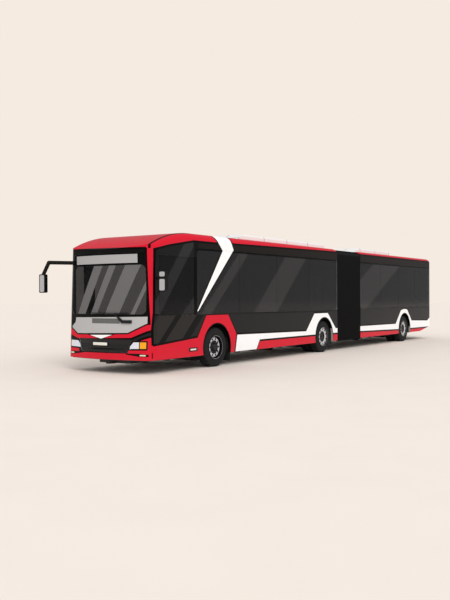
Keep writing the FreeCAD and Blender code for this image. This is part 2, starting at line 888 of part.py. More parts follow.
def portal_axle(station):
    # A beam under the floor that rises behind each pair of twin wheels to their hubs
    hub_start = wheel_centre - tyre_width - twin_gap
    upright = twin_upright
    top = tyre_radius + hub_radius
    points = [(0, beam_bottom), (upright, beam_bottom), (upright, top), (upright - hub_radius, top),
              (upright - hub_radius, beam_top), (0, beam_top)]
    arm = front_prism(points, station - beam_half_depth, station + beam_half_depth)
    spindle = rod(spindle_radius, V(upright - hub_radius, at(station), tyre_radius),
                  V((wheel_centre + hub_start) / 2 - seat_gap, at(station), tyre_radius))
    carrier = rod(hub_radius, V(upright - hub_radius, at(station), tyre_radius),
                  V(hub_start - running_gap, at(station), tyre_radius))
    half = joined([arm, spindle, carrier])
    return joined([half, mirrored(half)])


# Underframes and floors

def rails(start, end):
    # Two long rails, which rise with the skirt towards the tail
    slope = departure_rise / (departure_length + cut_overrun)
    knee = min(end, departure_station)
    rise = max(0, end - departure_station) * slope
    outline = [(start, rail_bottom), (knee, rail_bottom), (end, rail_bottom + rise),
               (end, floor_bottom + rise), (knee, floor_bottom), (start, floor_bottom)]
    if not rise:
        outline = [p for i, p in enumerate(outline) if i not in (1, 4)]
    inner = rail_centre - rail_width / 2
    rail = side_prism(outline, inner, inner + rail_width)
    return [rail, mirrored(rail)]


def tow_plate(end, way, low):
    # A flat tongue at the end of an underframe, with an upright bore for a towing pin
    tip = end + way * tow_plate_reach
    plate = solid_box(-tow_plate_half_width, tow_plate_half_width, end - way * cross_member_length,
                      tip, low, low + tow_plate_thickness)
    foot = V(0, at(tip - way * tow_bore_inset), low)
    return plate.cut(Part.makeCylinder(tow_bore_radius, tow_plate_thickness, foot))


def cross_members(stations):
    # At each station one member between the rails and one out from each of them
    near = rail_centre - rail_width / 2
    spans = [(-near, near), (near + rail_width, cross_member_reach),
             (-near - rail_width, -cross_member_reach)]
    return [solid_box(x0, x1, s, s + cross_member_length, floor_bottom - cross_member_height,
                      floor_bottom) for s in stations for x0, x1 in spans]


def clear_of_wheels(length_start, length_end, axles):
    # Even cross-member places that leave the wheelhouses free
    clear = wheelhouse_half_length + wheelhouse_wall + cross_member_length
    count = int((length_end - length_start) // seat_pitch)
    pitch = (length_end - length_start - cross_member_length) / count
    places = [length_start + i * pitch for i in range(count + 1)]
    return [p for p in places if all(abs(p + cross_member_length / 2 - a) > clear for a in axles)]


def front_chassis():
    start = nose_depth
    beam = solid_box(-rail_centre, rail_centre, start, start + cross_member_length, rail_bottom,
                     floor_bottom)
    return joined(rails(start, front_car_length) + [beam, tow_plate(start, -1, rail_bottom)])


def front_cross_members():
    places = clear_of_wheels(nose_depth, front_car_length, (axle_1, axle_2))
    return cross_members(places[1:])


def rear_chassis():
    # The rails end in a beam at the tail and carry the engine on two mounting beams
    end = bus_length - tail_depth
    rise = (end - departure_station) * departure_rise / (departure_length + cut_overrun)
    low = rail_bottom + rise
    beam = solid_box(-rail_centre, rail_centre, end - cross_member_length, end, low,
                     floor_bottom + rise)
    mounts = [solid_box(-rail_centre, rail_centre, s, s + engine_mount_length, floor_bottom
                        - cross_member_height, engine_bottom)
              for s in (engine_start(), engine_start() + engine_length - engine_mount_length)]
    return joined(rails(rear_car_start, end) + [beam, tow_plate(end, 1, low)] + mounts)


def rear_cross_members():
    return cross_members(clear_of_wheels(rear_car_start, engine_deck_station, (axle_3,)))


def wheelhouses(station, inner):
    # A box over the wheels of each side, open below and at the arch
    half = wheelhouse_half_length
    wall = wheelhouse_wall
    outside = solid_box(inner - wall, inner_half_width - seat_gap, station - half - wall,
                        station + half + wall, floor_bottom, wheelhouse_height + wall)
    inside = solid_box(inner, inner_half_width + cut_overrun, station - half, station + half,
                       floor_bottom - cut_overrun, wheelhouse_height)
    box = outside.cut(inside)
    return [box, mirrored(box)]


def wheelhouse_notches(station, inner):
    reach = wheelhouse_half_length + wheelhouse_wall
    tool = solid_box(inner - wheelhouse_wall, bus_width, station - reach, station + reach, 0,
                     wheelhouse_height)
    return [tool, mirrored(tool)]


def door_sill(station):
    return solid_box(-half_width + leaf_recess, -inner_half_width + wall_thickness,
                     station + running_gap, station + door_opening - running_gap, floor_bottom,
                     floor_top)


def front_floor():
    inside = front_envelope(wall_thickness + seat_gap, roof_thickness, floor_bottom,
                            front_car_length)
    slab = solid_box(-bus_width, bus_width, 0, front_car_length, floor_bottom, floor_top)
    plate = less(slab.common(inside), wheelhouse_notches(axle_1, wheelhouse_inner)
                 + wheelhouse_notches(axle_2, twin_inner))
    return joined([plate] + [door_sill(station) for station in door_stations[:2]])


def rear_floor():
    # The low floor, and the step up to the deck over the engine
    reach = inner_half_width - seat_gap
    plate = solid_box(-reach, reach, rear_car_start, engine_deck_station, floor_bottom, floor_top)
    plate = less(plate, wheelhouse_notches(axle_3, twin_inner))
    riser = solid_box(-reach, reach, engine_deck_station, engine_deck_station + floor_thickness,
                      floor_bottom, engine_deck_height)
    deck = solid_box(-reach, reach, engine_deck_station, bus_length - tail_depth,
                     engine_deck_height - floor_thickness, engine_deck_height)
    return joined([plate, door_sill(door_stations[2]), riser, deck])


def engine_start():
    middle = (engine_deck_station + floor_thickness + bus_length - tail_depth) / 2
    return middle - engine_length / 2


def engine():
    return solid_box(-engine_half_width, engine_half_width, engine_start(),
                     engine_start() + engine_length, engine_bottom, engine_bottom + engine_height)


# Gangway

def turntable_base():
    low = turntable_bottom
    high = low + turntable_half_height
    foot = V(0, at(pivot_station), low)
    ring = Part.makeCylinder(turntable_radius, high - low, foot)
    arm = solid_box(-rail_centre, rail_centre, front_car_length,
                    pivot_station, low, high)
    flange = solid_box(-rail_centre - rail_width / 2, rail_centre + rail_width / 2,
                       front_car_length, front_car_length + turntable_flange, low, floor_bottom)
    bore = Part.makeCylinder(turntable_bore, high - low, foot)
    return joined([ring, arm, flange]).cut(bore)


def turntable_top():
    low = turntable_bottom + turntable_half_height + seat_gap
    high = floor_bottom
    foot = V(0, at(pivot_station), low)
    ring = Part.makeCylinder(turntable_radius, high - low, foot)
    arm = solid_box(-rail_centre, rail_centre, pivot_station,
                    rear_car_start, low, high)
    flange = solid_box(-rail_centre - rail_width / 2, rail_centre + rail_width / 2,
                       rear_car_start - turntable_flange, rear_car_start, low, floor_bottom)
    bore = Part.makeCylinder(turntable_bore, high - low, foot)
    disc = Part.makeCylinder(floor_disc_radius, floor_top - high, V(0, at(pivot_station), high))
    return joined([joined([ring, arm, flange]).cut(bore), disc])


def hoop_wire(station, inset):
    # One hoop of the gangway cover, an arch open at the bottom, with the skin's thickness
    edges = []
    y = at(station)
    corner = bellows_corner
    outer = half_width - inset
    top = roof_height - bellows_inset - inset
    low = bellows_bottom

    def point(x, z):
        return V(x, y, z)

    def arch(reach, crown, radius):
        bend = radius * (1 - math.sqrt(0.5))
        return [Part.makeLine(point(-reach, low), point(-reach, crown - radius)),
                Part.Arc(point(-reach, crown - radius), point(-reach + bend, crown - bend),
                         point(-reach + radius, crown)).toShape(),
                Part.makeLine(point(-reach + radius, crown), point(reach - radius, crown)),
                Part.Arc(point(reach - radius, crown), point(reach - bend, crown - bend),
                         point(reach, crown - radius)).toShape(),
                Part.makeLine(point(reach, crown - radius), point(reach, low))]

    inner = outer - bellows_skin
    edges += arch(outer, top, corner)
    edges.append(Part.makeLine(point(outer, low), point(inner, low)))
    edges += list(reversed(arch(inner, top - bellows_skin, corner - bellows_skin)))
    edges.append(Part.makeLine(point(-inner, low), point(-outer, low)))
    return Part.Wire(edges)


def bellows():
    wires = []
    steps = 2 * pleat_count
    length = gangway_length - 2 * seat_gap
    for i in range(steps + 1):
        station = front_car_length + seat_gap + length * i / steps
        wires.append(hoop_wire(station, pleat_depth if i % 2 else bellows_inset))
    return Part.makeLoft(wires, True, True)


# Doors

def door_leaf(station, hinge_at_front):
    # One leaf with its hinge post in the outer edge, and the pane in its frame
    mid_x = -(half_width - leaf_recess - leaf_thickness / 2)
    half = leaf_thickness / 2
    axis_in = running_gap + half
    width = door_opening / 2 - leaf_meeting_gap / 2
    if hinge_at_front:
        axis = station + axis_in
        free = station + width
    else:
        axis = station + door_opening - axis_in
        free = station + door_opening - width
    low = floor_top + running_gap
    high = door_top - running_gap
    slab = solid_box(mid_x - half, mid_x + half, axis, free, low, high)
    post = Part.makeCylinder(half, high - low, V(mid_x, at(axis), low))
    pin_low = floor_top + seat_gap
    pin = Part.makeCylinder(leaf_pin_radius, door_top - seat_gap - pin_low,
                            V(mid_x, at(axis), pin_low))
    near = min(axis, free) + leaf_border
    far = max(axis, free) - leaf_border
    hole = solid_box(mid_x - bus_width, mid_x + bus_width, near, far, low + leaf_top_border,
                     high - leaf_top_border)
    frame = joined([slab, post, pin]).cut(hole)
    outer_face = mid_x - half + leaf_recess
    pane = solid_box(outer_face, outer_face + leaf_glass_thickness, near + seat_gap,
                     far - seat_gap, low + leaf_top_border + seat_gap,
                     high - leaf_top_border - seat_gap)
    return [frame, pane]


# Tail

def tail_outline(half, low, high):
    return [(half, low), (half, high), (-half, high), (-half, low)]


def tail_slab(points):
    return front_prism(points, bus_length - tail_depth, bus_length + cut_overrun)


def tail_plug(points, out_inset, in_inset):
    outer = rear_envelope(out_inset, out_inset, skirt_height, rear_car_start)
    inner = rear_envelope(in_inset, in_inset, skirt_height - cut_overrun, rear_car_start)
    return outer.cut(inner).common(tail_slab(points))


def tail_lamp_outline():
    low = tail_lamp_centre - tail_lamp_half_width
    high = tail_lamp_centre + tail_lamp_half_width
    return [(low, tail_lamp_bottom), (high, tail_lamp_bottom), (high, tail_lamp_top),
            (low, tail_lamp_top)]


def rear_end(shell):
    roof_part = solid_box(-bus_width, bus_width, 0, bus_length + cut_overrun, side_top,
                          2 * roof_height)
    behind = solid_box(-bus_width, bus_width, bus_length - tail_depth, bus_length + cut_overrun,
                       -cut_overrun, roof_height + cut_overrun)
    body = shell.cut(roof_part).common(behind)
    lamp = tail_lamp_outline()
    holes = [tail_outline(rear_screen_half_width, rear_screen_bottom, rear_screen_top),
             tail_outline(hatch_half_width, hatch_bottom, hatch_top), lamp,
             [(-x, z) for x, z in lamp]]
    return less(body, [tail_slab(hole) for hole in holes])


def tail_lamps():
    left = tail_plug(grown(tail_lamp_outline(), -seat_gap), tail_lamp_recess, wall_thickness)
    return [left, mirrored(left)]


def engine_hatch():
    # The panel carries two hinge straps that reach up behind the tail
    outline = tail_outline(hatch_half_width - hatch_gap, hatch_bottom + hatch_gap,
                           hatch_top - hatch_gap)
    panel = tail_plug(outline, 0, hatch_thickness)
    straps = []
    for side in (-1, 1):
        near = side * hatch_half_width / 3
        far = near + side * hatch_strap_width
        low = hatch_top - hatch_gap - hatch_strap_width
        upright = solid_box(near, far, bus_length - tail_depth, bus_length, low,
                            hatch_top + hatch_strap_width)
        upright = upright.common(rear_envelope(wall_thickness + seat_gap, roof_thickness,
                                               skirt_height, rear_car_start))
        depth = wall_thickness + hatch_thickness
        upright = upright.cut(rear_envelope(depth, roof_thickness, skirt_height, rear_car_start))
        foot = solid_box(near, far, bus_length - depth, bus_length - hatch_thickness, low,
                         hatch_top - hatch_gap)
        straps += [upright, foot]
    return joined([panel] + straps)


def rear_screen():
    outline = tail_outline(rear_screen_half_width, rear_screen_bottom, rear_screen_top)
    return tail_plug(grown(outline, -seat_gap), screen_recess, screen_recess + screen_thickness)


# Fittings

def roof_pod(start, end):
    base = roof_height
    top = base + pod_height
    w = half_width - pod_side
    corners = [(start, base), (start + pod_taper, top), (end - pod_corner, top), (end, base)]
    block = side_prism(corners, -w, w)
    long_edges = [e for e in block.Edges if all(v.Point.z > top - seat_gap for v in e.Vertexes)
                  and abs(e.Vertexes[0].Point.y - e.Vertexes[-1].Point.y) > pod_taper]
    return block.makeFillet(pod_corner, long_edges)


def seat_profile(start, floor):
    pad_top = floor + seat_height
    back = start + seat_depth
    return [(start, pad_top - seat_pad), (start, pad_top), (back, pad_top),
            (back + seat_recline, pad_top + seat_back_height),
            (back + seat_recline + seat_back, pad_top + seat_back_height),
            (back + seat_back, pad_top - seat_pad)]


def seat_row(first, last, floor):
    # Seats hung from a rail along the left-hand wall, in twos
    wall = inner_half_width - seat_gap
    count = int((last - first) // seat_pitch)
    pieces = []
    for i in range(count):
        start = first + i * seat_pitch
        pieces.append(side_prism(seat_profile(start, floor), wall - seats_abreast * seat_width,
                                 wall))
    rail_top = floor + seat_height - seat_pad
    end = first + (count - 1) * seat_pitch + seat_depth
    pieces.append(solid_box(wall - seat_rail_width, wall, first, end, rail_top - seat_rail_height,
                            rail_top))
    return joined(pieces)


def front_seats():
    clear = wheelhouse_half_length + wheelhouse_wall
    left = seat_row(axle_1 + clear, axle_2 - clear, floor_top)
    right_ahead = mirrored(seat_row(axle_1 + clear, door_stations[1], floor_top))
    right_behind = mirrored(seat_row(door_ends[1] + seat_back, axle_2 - clear, floor_top))
    return [left, right_ahead, right_behind, driver_seat()]


def driver_seat():
    middle = inner_half_width - seat_width
    start = nose_depth + seat_depth * 2
    chair = side_prism(seat_profile(start, floor_top), middle - seat_width / 2,
                       middle + seat_width / 2)
    foot = solid_box(middle - seat_width / 4, middle + seat_width / 4, start + seat_depth / 4,
                     start + seat_depth, floor_top, floor_top + seat_height - seat_pad)
    return joined([chair, foot])


def rear_seats():
    clear = wheelhouse_half_length + wheelhouse_wall
    left = seat_row(rear_car_start + rear_seat_lead, axle_3 - clear, floor_top)
    right = mirrored(seat_row(door_ends[2] + seat_back, axle_3 - clear, floor_top))
    deck_left = seat_row(engine_deck_station + seat_depth / 2, bus_length - tail_depth,
                         engine_deck_height)
    return [left, right, deck_left, mirrored(deck_left)]


def dashboard():
    # The driver's desk with its column and wheel
    middle = inner_half_width - seat_width
    start = nose_depth
    desk_top = floor_top + 2 * seat_height
    wall = inner_half_width - seat_gap
    desk = side_prism([(start, floor_top), (start, desk_top), (start + seat_depth / 2, desk_top),
                       (start + seat_depth, desk_top - seat_height / 2),
                       (start + seat_depth * 2 / 3, desk_top - seat_height / 2),
                       (start + seat_depth / 2, floor_top)], middle - seat_width, wall)
    lean = V(0, seat_depth / 3, seat_height / 3)
    root = V(middle, at(start + seat_depth * 2 / 3), desk_top - seat_height / 2)
    column = rod(spindle_radius / 2, root, root.add(lean))
    wheel = Part.makeTorus(seat_width / 2, mirror_arm_radius, root.add(lean), lean)
    spokes = []
    for angle in (0, 2 * math.pi / 3, 4 * math.pi / 3):
        across = V(1, 0, 0)
        other = lean.cross(across).normalize()
        reach = across.multiply(math.cos(angle)).add(other.multiply(math.sin(angle)))
        spokes.append(rod(mirror_arm_radius / 2, root.add(lean),
                          root.add(lean).add(reach.multiply(seat_width / 2))))
    return joined([desk, column, wheel] + spokes)


def main():
    os.makedirs("parts", exist_ok=True)
    front = front_shell()
    left_wall, right_wall = front_car_walls(front)
    save("front_wall_left", [left_wall])
    save("front_wall_right", [right_wall])
    save("front_roof", [front.common(front_roof_tool())])
    save("front_mask", [nose_mask(front)])
    save("front_grille", [grille()])
    save("front_flap", [front_flap()])
    save("windscreen", [windscreen()])
    save("headlamps", headlamps())
    save("destination_display", [destination_display()])
    save("wiper", [wiper()])
    save("mirrors", mirrors())
    right_panes = [pane for row in right_front_panes for pane in panes(row, -1)]
    save("front_side_glass", panes(left_front_panes, 1) + right_panes)
    save("front_chassis", [front_chassis()])
    save("front_cross_members", front_cross_members())
    save("front_floor", [front_floor()])
    save("front_wheelhouses", wheelhouses(axle_1, wheelhouse_inner) + wheelhouses(axle_2, twin_inner))
    save("front_car_axles", [front_axle(), portal_axle(axle_2)])
    pod_start = axle_1 + front_pod_lead
    save("front_roof_pod", [roof_pod(pod_start, front_car_length - front_pod_end_gap)])
    save("front_seats", front_seats())
    save("dashboard", [dashboard()])
    save("turntable_base", [turntable_base()])
    save("gangway_bellows", [bellows()])

    left_knuckle = knuckle()
    save("knuckle_left", [left_knuckle])
    save("knuckle_right", [mirrored(left_knuckle)])
    save("track_rod", [track_rod()])
    for side, name in ((1, "left"), (-1, "right")):
        wheel, rubber = front_wheel(side, axle_1)
        save("rim_front_" + name, [wheel])
        save("tyre_front_" + name, [rubber])
        for place, station in (("middle", axle_2), ("rear", axle_3)):
            wheel, rubbers = twin_wheel(side, station)
            save("rim_" + place + "_" + name, [wheel])
            save("tyres_" + place + "_" + name, rubbers)

    rear = rear_shell()
    left_wall, right_wall = rear_car_walls(rear)
    save("rear_wall_left", [left_wall])
    save("rear_wall_right", [right_wall])
    roof_part = solid_box(-bus_width, bus_width, 0, bus_length + cut_overrun, side_top,
                          2 * roof_height)
    save("rear_roof", [rear.common(roof_part)])
    save("rear_end", [rear_end(rear)])
    save("tail_lamps", tail_lamps())
    save("engine_hatch", [engine_hatch()])
    right_panes = [pane for row in right_rear_panes for pane in panes(row, -1)]
    save("rear_glass", panes(left_rear_panes, 1) + right_panes + [rear_screen()])
    save("rear_chassis", [rear_chassis()])
    save("rear_cross_members", rear_cross_members())
    save("rear_floor", [rear_floor()])
    save("rear_wheelhouses", wheelhouses(axle_3, twin_inner))
    save("rear_axle", [portal_axle(axle_3)])
    save("engine_block", [engine()])
    pod_start = rear_car_start + rear_pod_lead
    save("rear_roof_pod", [roof_pod(pod_start, pod_start + rear_pod_length)])
    save("rear_seats", rear_seats())
    save("turntable_top", [turntable_top()])

    for number, station in enumerate(door_stations, 1):
        save("door_%d_leaf_ahead" % number, door_leaf(station, True))
        save("door_%d_leaf_behind" % number, door_leaf(station, False))


main()
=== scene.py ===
import math
import bmesh
import bpy
from mathutils import Euler, Matrix, Vector


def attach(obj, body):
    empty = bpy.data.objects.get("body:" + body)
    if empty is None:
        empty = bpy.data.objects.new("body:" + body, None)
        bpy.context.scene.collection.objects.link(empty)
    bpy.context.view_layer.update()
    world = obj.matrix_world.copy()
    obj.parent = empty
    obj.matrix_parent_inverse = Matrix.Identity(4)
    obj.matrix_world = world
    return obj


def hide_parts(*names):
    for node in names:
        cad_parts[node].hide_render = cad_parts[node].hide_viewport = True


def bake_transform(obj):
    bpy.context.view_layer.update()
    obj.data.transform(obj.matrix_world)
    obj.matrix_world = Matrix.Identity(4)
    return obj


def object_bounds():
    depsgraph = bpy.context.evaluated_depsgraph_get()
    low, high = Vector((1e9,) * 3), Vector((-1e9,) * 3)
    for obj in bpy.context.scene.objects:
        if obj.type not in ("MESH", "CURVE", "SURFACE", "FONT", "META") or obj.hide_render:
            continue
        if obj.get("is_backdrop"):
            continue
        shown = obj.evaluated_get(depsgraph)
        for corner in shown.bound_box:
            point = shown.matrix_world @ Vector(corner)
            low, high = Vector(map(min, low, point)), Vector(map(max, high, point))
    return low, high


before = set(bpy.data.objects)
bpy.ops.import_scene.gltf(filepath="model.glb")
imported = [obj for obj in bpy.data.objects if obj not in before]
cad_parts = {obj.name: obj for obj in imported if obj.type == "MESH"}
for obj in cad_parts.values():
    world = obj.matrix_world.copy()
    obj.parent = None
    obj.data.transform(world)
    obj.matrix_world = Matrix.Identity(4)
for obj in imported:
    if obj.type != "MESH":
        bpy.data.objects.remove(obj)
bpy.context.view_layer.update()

scene = bpy.context.scene
noseY = -8.85    # y of the nose; a station is a distance back from it
pastTail = 30    # a station that nothing reaches
print("frame loaded:", len(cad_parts), "nodes")


def at(station):
    return noseY + station


def toLinear(hexColour):
    parts = [int(hexColour[i:i + 2], 16) / 255 for i in (1, 3, 5)]
    return [c / 12.92 if c <= 0.04045 else ((c + 0.055) / 1.055) ** 2.4 for c in parts] + [1]


def addNode(mat, kind, inputs=(), **settings):
    # Inputs are values, sockets or nodes, in order or by name; a node stands for its first output
    made = mat.node_tree.nodes.new("ShaderNode" + kind)
    for name, value in settings.items():
        setattr(made, name, value)
    for socket, value in inputs.items() if isinstance(inputs, dict) else enumerate(inputs):
        if isinstance(value, bpy.types.Node):
            value = value.outputs[0]
        if isinstance(value, bpy.types.NodeSocket):
            mat.node_tree.links.new(value, made.inputs[socket])
        elif value is not None:
            made.inputs[socket].default_value = value
    return made


def startMaterial(name):
    made = bpy.data.materials.new(name)
    made.use_nodes = True
    made.node_tree.nodes.clear()
    return made, addNode(made, "TexCoord").outputs["Object"]


def finishMaterial(mat, shader):
    surface = addNode(mat, "BsdfPrincipled", shader)
    addNode(mat, "OutputMaterial", {"Surface": surface})
    return mat


def grain(mat, place, sizeMm, detail=3):
    # Noise whose spots are about sizeMm across
    return addNode(mat, "TexNoise", {"Vector": place, "Scale": 1000 / sizeMm, "Detail": detail})


def relief(mat, place, strength, depthMm, sizeMm, detail=3):
    # The normals of a grain of that depth
    return addNode(mat, "Bump", {"Strength": strength, "Distance": depthMm / 1000,
                   "Height": grain(mat, place, sizeMm, detail)})


def both(mat, *masks):
    made = masks[0]
    for mask in masks[1:]:
        made = addNode(mat, "Math", [made, mask], operation="MULTIPLY")
    return made


def either(mat, *masks):
    made = masks[0]
    for mask in masks[1:]:
        made = addNode(mat, "Math", [made, mask], operation="MAXIMUM")
    return made


def between(mat, value, low, high):
    # 1 where a value lies between two others; None leaves that end open
    return both(mat, *[addNode(mat, "Math", [value, edge], operation=test)
                for edge, test in ((low, "GREATER_THAN"), (high, "LESS_THAN"))
                if edge is not None])


def away(mat, value, middle):
    apart = addNode(mat, "Math", [value, middle], operation="SUBTRACT")
    return addNode(mat, "Math", [apart], operation="ABSOLUTE")


def nearLine(mat, value, line, width):
    return between(mat, away(mat, value, line), None, width / 2)


def brokenLine(mat, along, name):
    # The height of an edge of the livery, which runs straight from corner to corner
    corners = livery[name]
    height = corners[0][1]
    for (start, low), (end, high) in zip(corners, corners[1:]):
        if low != high:
            climb = addNode(mat, "MapRange", {"Value": along, "From Min": start,
                            "From Max": end, "To Min": 0, "To Max": high - low})
            height = addNode(mat, "Math", [climb, height], operation="ADD")
    return height


def depthInside(mat, a, b, corners):
    # How deep a spot lies in an outline whose corners run anticlockwise and all turn one way
    depth = None
    for (a0, b0), (a1, b1) in zip(corners, corners[1:] + corners[:1]):
        length = math.hypot(a1 - a0, b1 - b0)
        slopeA, slopeB = (b0 - b1) / length, (a1 - a0) / length
        edge = addNode(mat, "Math", [b, slopeB, -(a0 * slopeA + b0 * slopeB)],
                       operation="MULTIPLY_ADD")
        edge = addNode(mat, "Math", [a, slopeA, edge], operation="MULTIPLY_ADD")
        depth = addNode(mat, "Math", [depth, edge], operation="MINIMUM") if depth else edge
    return depth


def depthRounded(mat, a, b, low, high, radius):
    # The same for a box whose corners are rounded
    over = []
    for value, start, end in ((a, low[0], high[0]), (b, low[1], high[1])):
        over.append(addNode(mat, "Math", [away(mat, value, (start + end) / 2),
                            (end - start) / 2 - radius], operation="SUBTRACT"))
    corner = addNode(mat, "CombineXYZ", [either(mat, value, 0) for value in over])
    corner = addNode(mat, "VectorMath", [corner], operation="LENGTH").outputs["Value"]
    inner = addNode(mat, "Math", [either(mat, *over), 0], operation="MINIMUM")
    whole = addNode(mat, "Math", [corner, inner], operation="ADD")
    return addNode(mat, "Math", [radius, whole], operation="SUBTRACT")


def slanted(mat, along, height, lean, foot, low, high):
    # A slanted band, as for the painted reflections: its span at the foot height, carried along as it
    # climbs
    shift = addNode(mat, "Math", [height, -lean, lean * foot], operation="MULTIPLY_ADD")
    return between(mat, addNode(mat, "Math", [along, shift], operation="ADD"), low, high)


def paintOver(mat, mask, under, colour):
    # Each colour is a hex value, a name in the livery, or a node that has worked one out
    return addNode(mat, "MixRGB", [mask] + [toLinear(livery.get(each, each))
                   if isinstance(each, str) else each for each in (under, colour)])


def panel(mat, under, depth, fill, width=0.030):
    # A filled outline, with a coachline round it unless its width is 0
    under = paintOver(mat, between(mat, depth, 0, None), under, fill)
    if not width:
        return under
    return paintOver(mat, nearLine(mat, depth, 0, width), under, "coachline")


def axes(mat, place):
    # x, its size whichever the side, the station and the height
    x, y, z = addNode(mat, "SeparateXYZ", [place]).outputs
    return x, away(mat, x, 0), addNode(mat, "Math", [y, -noseY], operation="ADD"), z


def facesOut(mat, place, middle):
    # 1 where the surface looks away from the cabin's middle, for a shell whose lining differs;
    # the cabin is long, so the way along it counts little
    normal = addNode(mat, "TexCoord").outputs["Normal"]
    reach = addNode(mat, "VectorMath", [place, middle], operation="SUBTRACT")
    reach = addNode(mat, "VectorMath", [reach, (1, 0.12, 1)], operation="MULTIPLY")
    dot = addNode(mat, "VectorMath", [reach, normal], operation="DOT_PRODUCT")
    return between(mat, dot.outputs["Value"], 0, None)


# Lines are (station, height) corners along the bus, (x, height) corners across its nose, and for
# the bolt and the pillars (height, station) or (height, x) corners up it
livery = {
    "red": "#d81a31", "white": "#ffffff", "coachline": "#020202", "dark": "#0d0d0d",
    "lower": "#222223", "upper": "#1c1715", "lining": "#a9aaa8", "dust": "#8d8378",
    "lidShade": "#b9b9b9", "intakeShade": "#6a6a68", "lampShade": "#dfe3ee",
    # The slot beside the fog lamp is an opening, painted near black as its shade
    "slotPaintedShade": "#0a0a0a", "fogShade": "#e9dfc0",
    "lineWidth": 0.050, "headerLine": 0.045, "beltLine": 0.034, "archLine": 0.030,
    "lampLine": 0.026, "jointLine": 0.022, "fineLine": 0.010,
    "redFoot": [(0.25, 2.74), (0.86, 2.87), (1.75, 3.01), (2.62, 3.01), (3.44, 3.03), (9.33, 3.10)],
    "darkFoot": [(0.25, 0.65), (1.89, 0.77), (2.25, 1.29), (3.18, 1.29), (3.57, 0.77), (7.26, 0.71),
                 (7.78, 1.22), (8.66, 1.22), (9.21, 0.73), (11.05, 0.73), (14.18, 0.71),
                 (14.70, 1.20), (15.03, 1.25), (15.34, 1.22), (15.80, 0.79), (17.53, 0.74),
                 (17.98, 0.93)],
    "skirtTop": [(4.50, 0.30), (4.67, 0.55), (9.33, 0.54), (11.05, 0.52), (14.52, 0.46),
                 (17.89, 0.45)],
    "belt": [(0.26, 1.32), (2.0, 1.303), (6.9, 1.265), (9.3, 1.26), (11.05, 1.31), (17.7, 1.265)],
    "whiteStart": (0.217, 3.405),    # the white field's front edge: its lean, and where it meets 0
    "headerFoot": 2.84, "headerStart": 1.95,
    "lowerSlant": (1.05, 1.27),    # the lean of the painted reflections below the belt, and their foot
    # Painted reflections on the dark panels below the belt: lighter and darker slanted streaks
    "lowerPaintedReflections": [(0.46, 1.05, "#2c2a28"), (1.05, 1.26, "#0d0d0d"), (1.26, 1.85, "#2c2a28"),
                    (1.85, 2.13, "#0d0d0d")],
    "boltFoot": 1.37, "boltAhead": [(1.37, 1.86), (2.84, 2.93), (3.17, 2.60)],
    "boltBehind": [(1.37, 1.95), (2.88, 3.46), (3.18, 3.28)],
    "pillarRear": [(1.0, 0.275), (1.37, 0.315), (2.70, 0.355)], "pillarSpan": (0.65, 2.78),
    "pillarFront": [(1.15, 1.190), (1.33, 1.178), (2.70, 1.095)], "postSpan": (1.10, 2.79),
    "brow": [(-0.684, 2.811), (0.409, 2.791), (1.2, 2.785)], "surroundFoot": 1.27,
    "cornerX": -0.98, "cornerSpan": (0.98, 2.81),
    "maskTop": [(-1.275, 0.86), (-0.876, 0.742), (0.777, 0.788), (1.076, 0.907), (1.275, 0.982)],
    "maskFoot": [(-1.134, 0.763), (-0.811, 0.556), (-0.79, 0.48), (0.691, 0.49), (0.734, 0.609),
                 (0.969, 0.76), (1.275, 0.86)],
    "lid": [(-0.962, 1.261), (-0.986, 1.144), (-1.0, 0.94), (-0.874, 0.868), (0.693, 0.906),
            (1.175, 1.121), (1.176, 1.295)],
    "lidEar": [(-0.986, 1.144), (-1.116, 1.05), (-1.107, 0.998), (-0.874, 0.868), (-0.5, 0.875),
               (-0.5, 1.144)],
    "intake": [(-0.36, 1.12), (0.475, 1.12), (0.475, 1.235), (-0.36, 1.235)],
    "chevron": [(-0.459, 0.857), (-0.058, 0.773), (0.304, 0.876)],
    "lamp": [(0.734, 0.548), (1.153, 0.556), (1.154, 0.739), (0.833, 0.725), (0.748, 0.633)],
    "slot": [(0.656, 0.449), (1.021, 0.402), (1.19, 0.406), (1.19, 0.446), (0.968, 0.463),
             (0.668, 0.461)],
    "fog": ((1.0, 0.414), (1.14, 0.446), 0.012),
    "joint": 0.262, "jointSpan": (0.36, 0.49),
    "seam": 1.165, "seamSpan": (0.05, 1.75), "seamFoot": 2.78,
    "wheelStations": (2.70, 8.43, 15.07), "wheelHeight": 0.478, "archRadius": 0.583,
}


def fromWheel(mat, station, height):
    # The distance from the nearest axle line, in the plane of the wheels
    near = None
    for centre in livery["wheelStations"]:
        along = away(mat, station, centre)
        near = addNode(mat, "Math", [near, along], operation="MINIMUM") if near else along
    rise = addNode(mat, "Math", [height, livery["wheelHeight"]], operation="SUBTRACT")
    flat = addNode(mat, "CombineXYZ", [near, rise])
    return addNode(mat, "VectorMath", [flat], operation="LENGTH").outputs["Value"]


smokeBand = {
    "driver": "#1a1a1b", "driverPaintedReflection": "#2f2f30", "cabin": "#2b2b2c", "cabinPaintedReflection": "#3e3d3d",
    "post": "#0b0b0b", "postStart": 1.75, "cabinField": ((1.876, 0.4), (pastTail, 2.81), 0.10),
    # A painted reflection is its lean and its span at the painted reflections' foot
    "paintedReflectionFoot": 1.33, "driverPaintedReflections": [(0.8, 0.11, 0.50), (1.2, 1.30, 9)],
    "cabinPaintedReflections": [(1.1, 2.06, 2.50), (1.1, 4.42, 5.63), (2.0, 9.2, 11.62)],
}


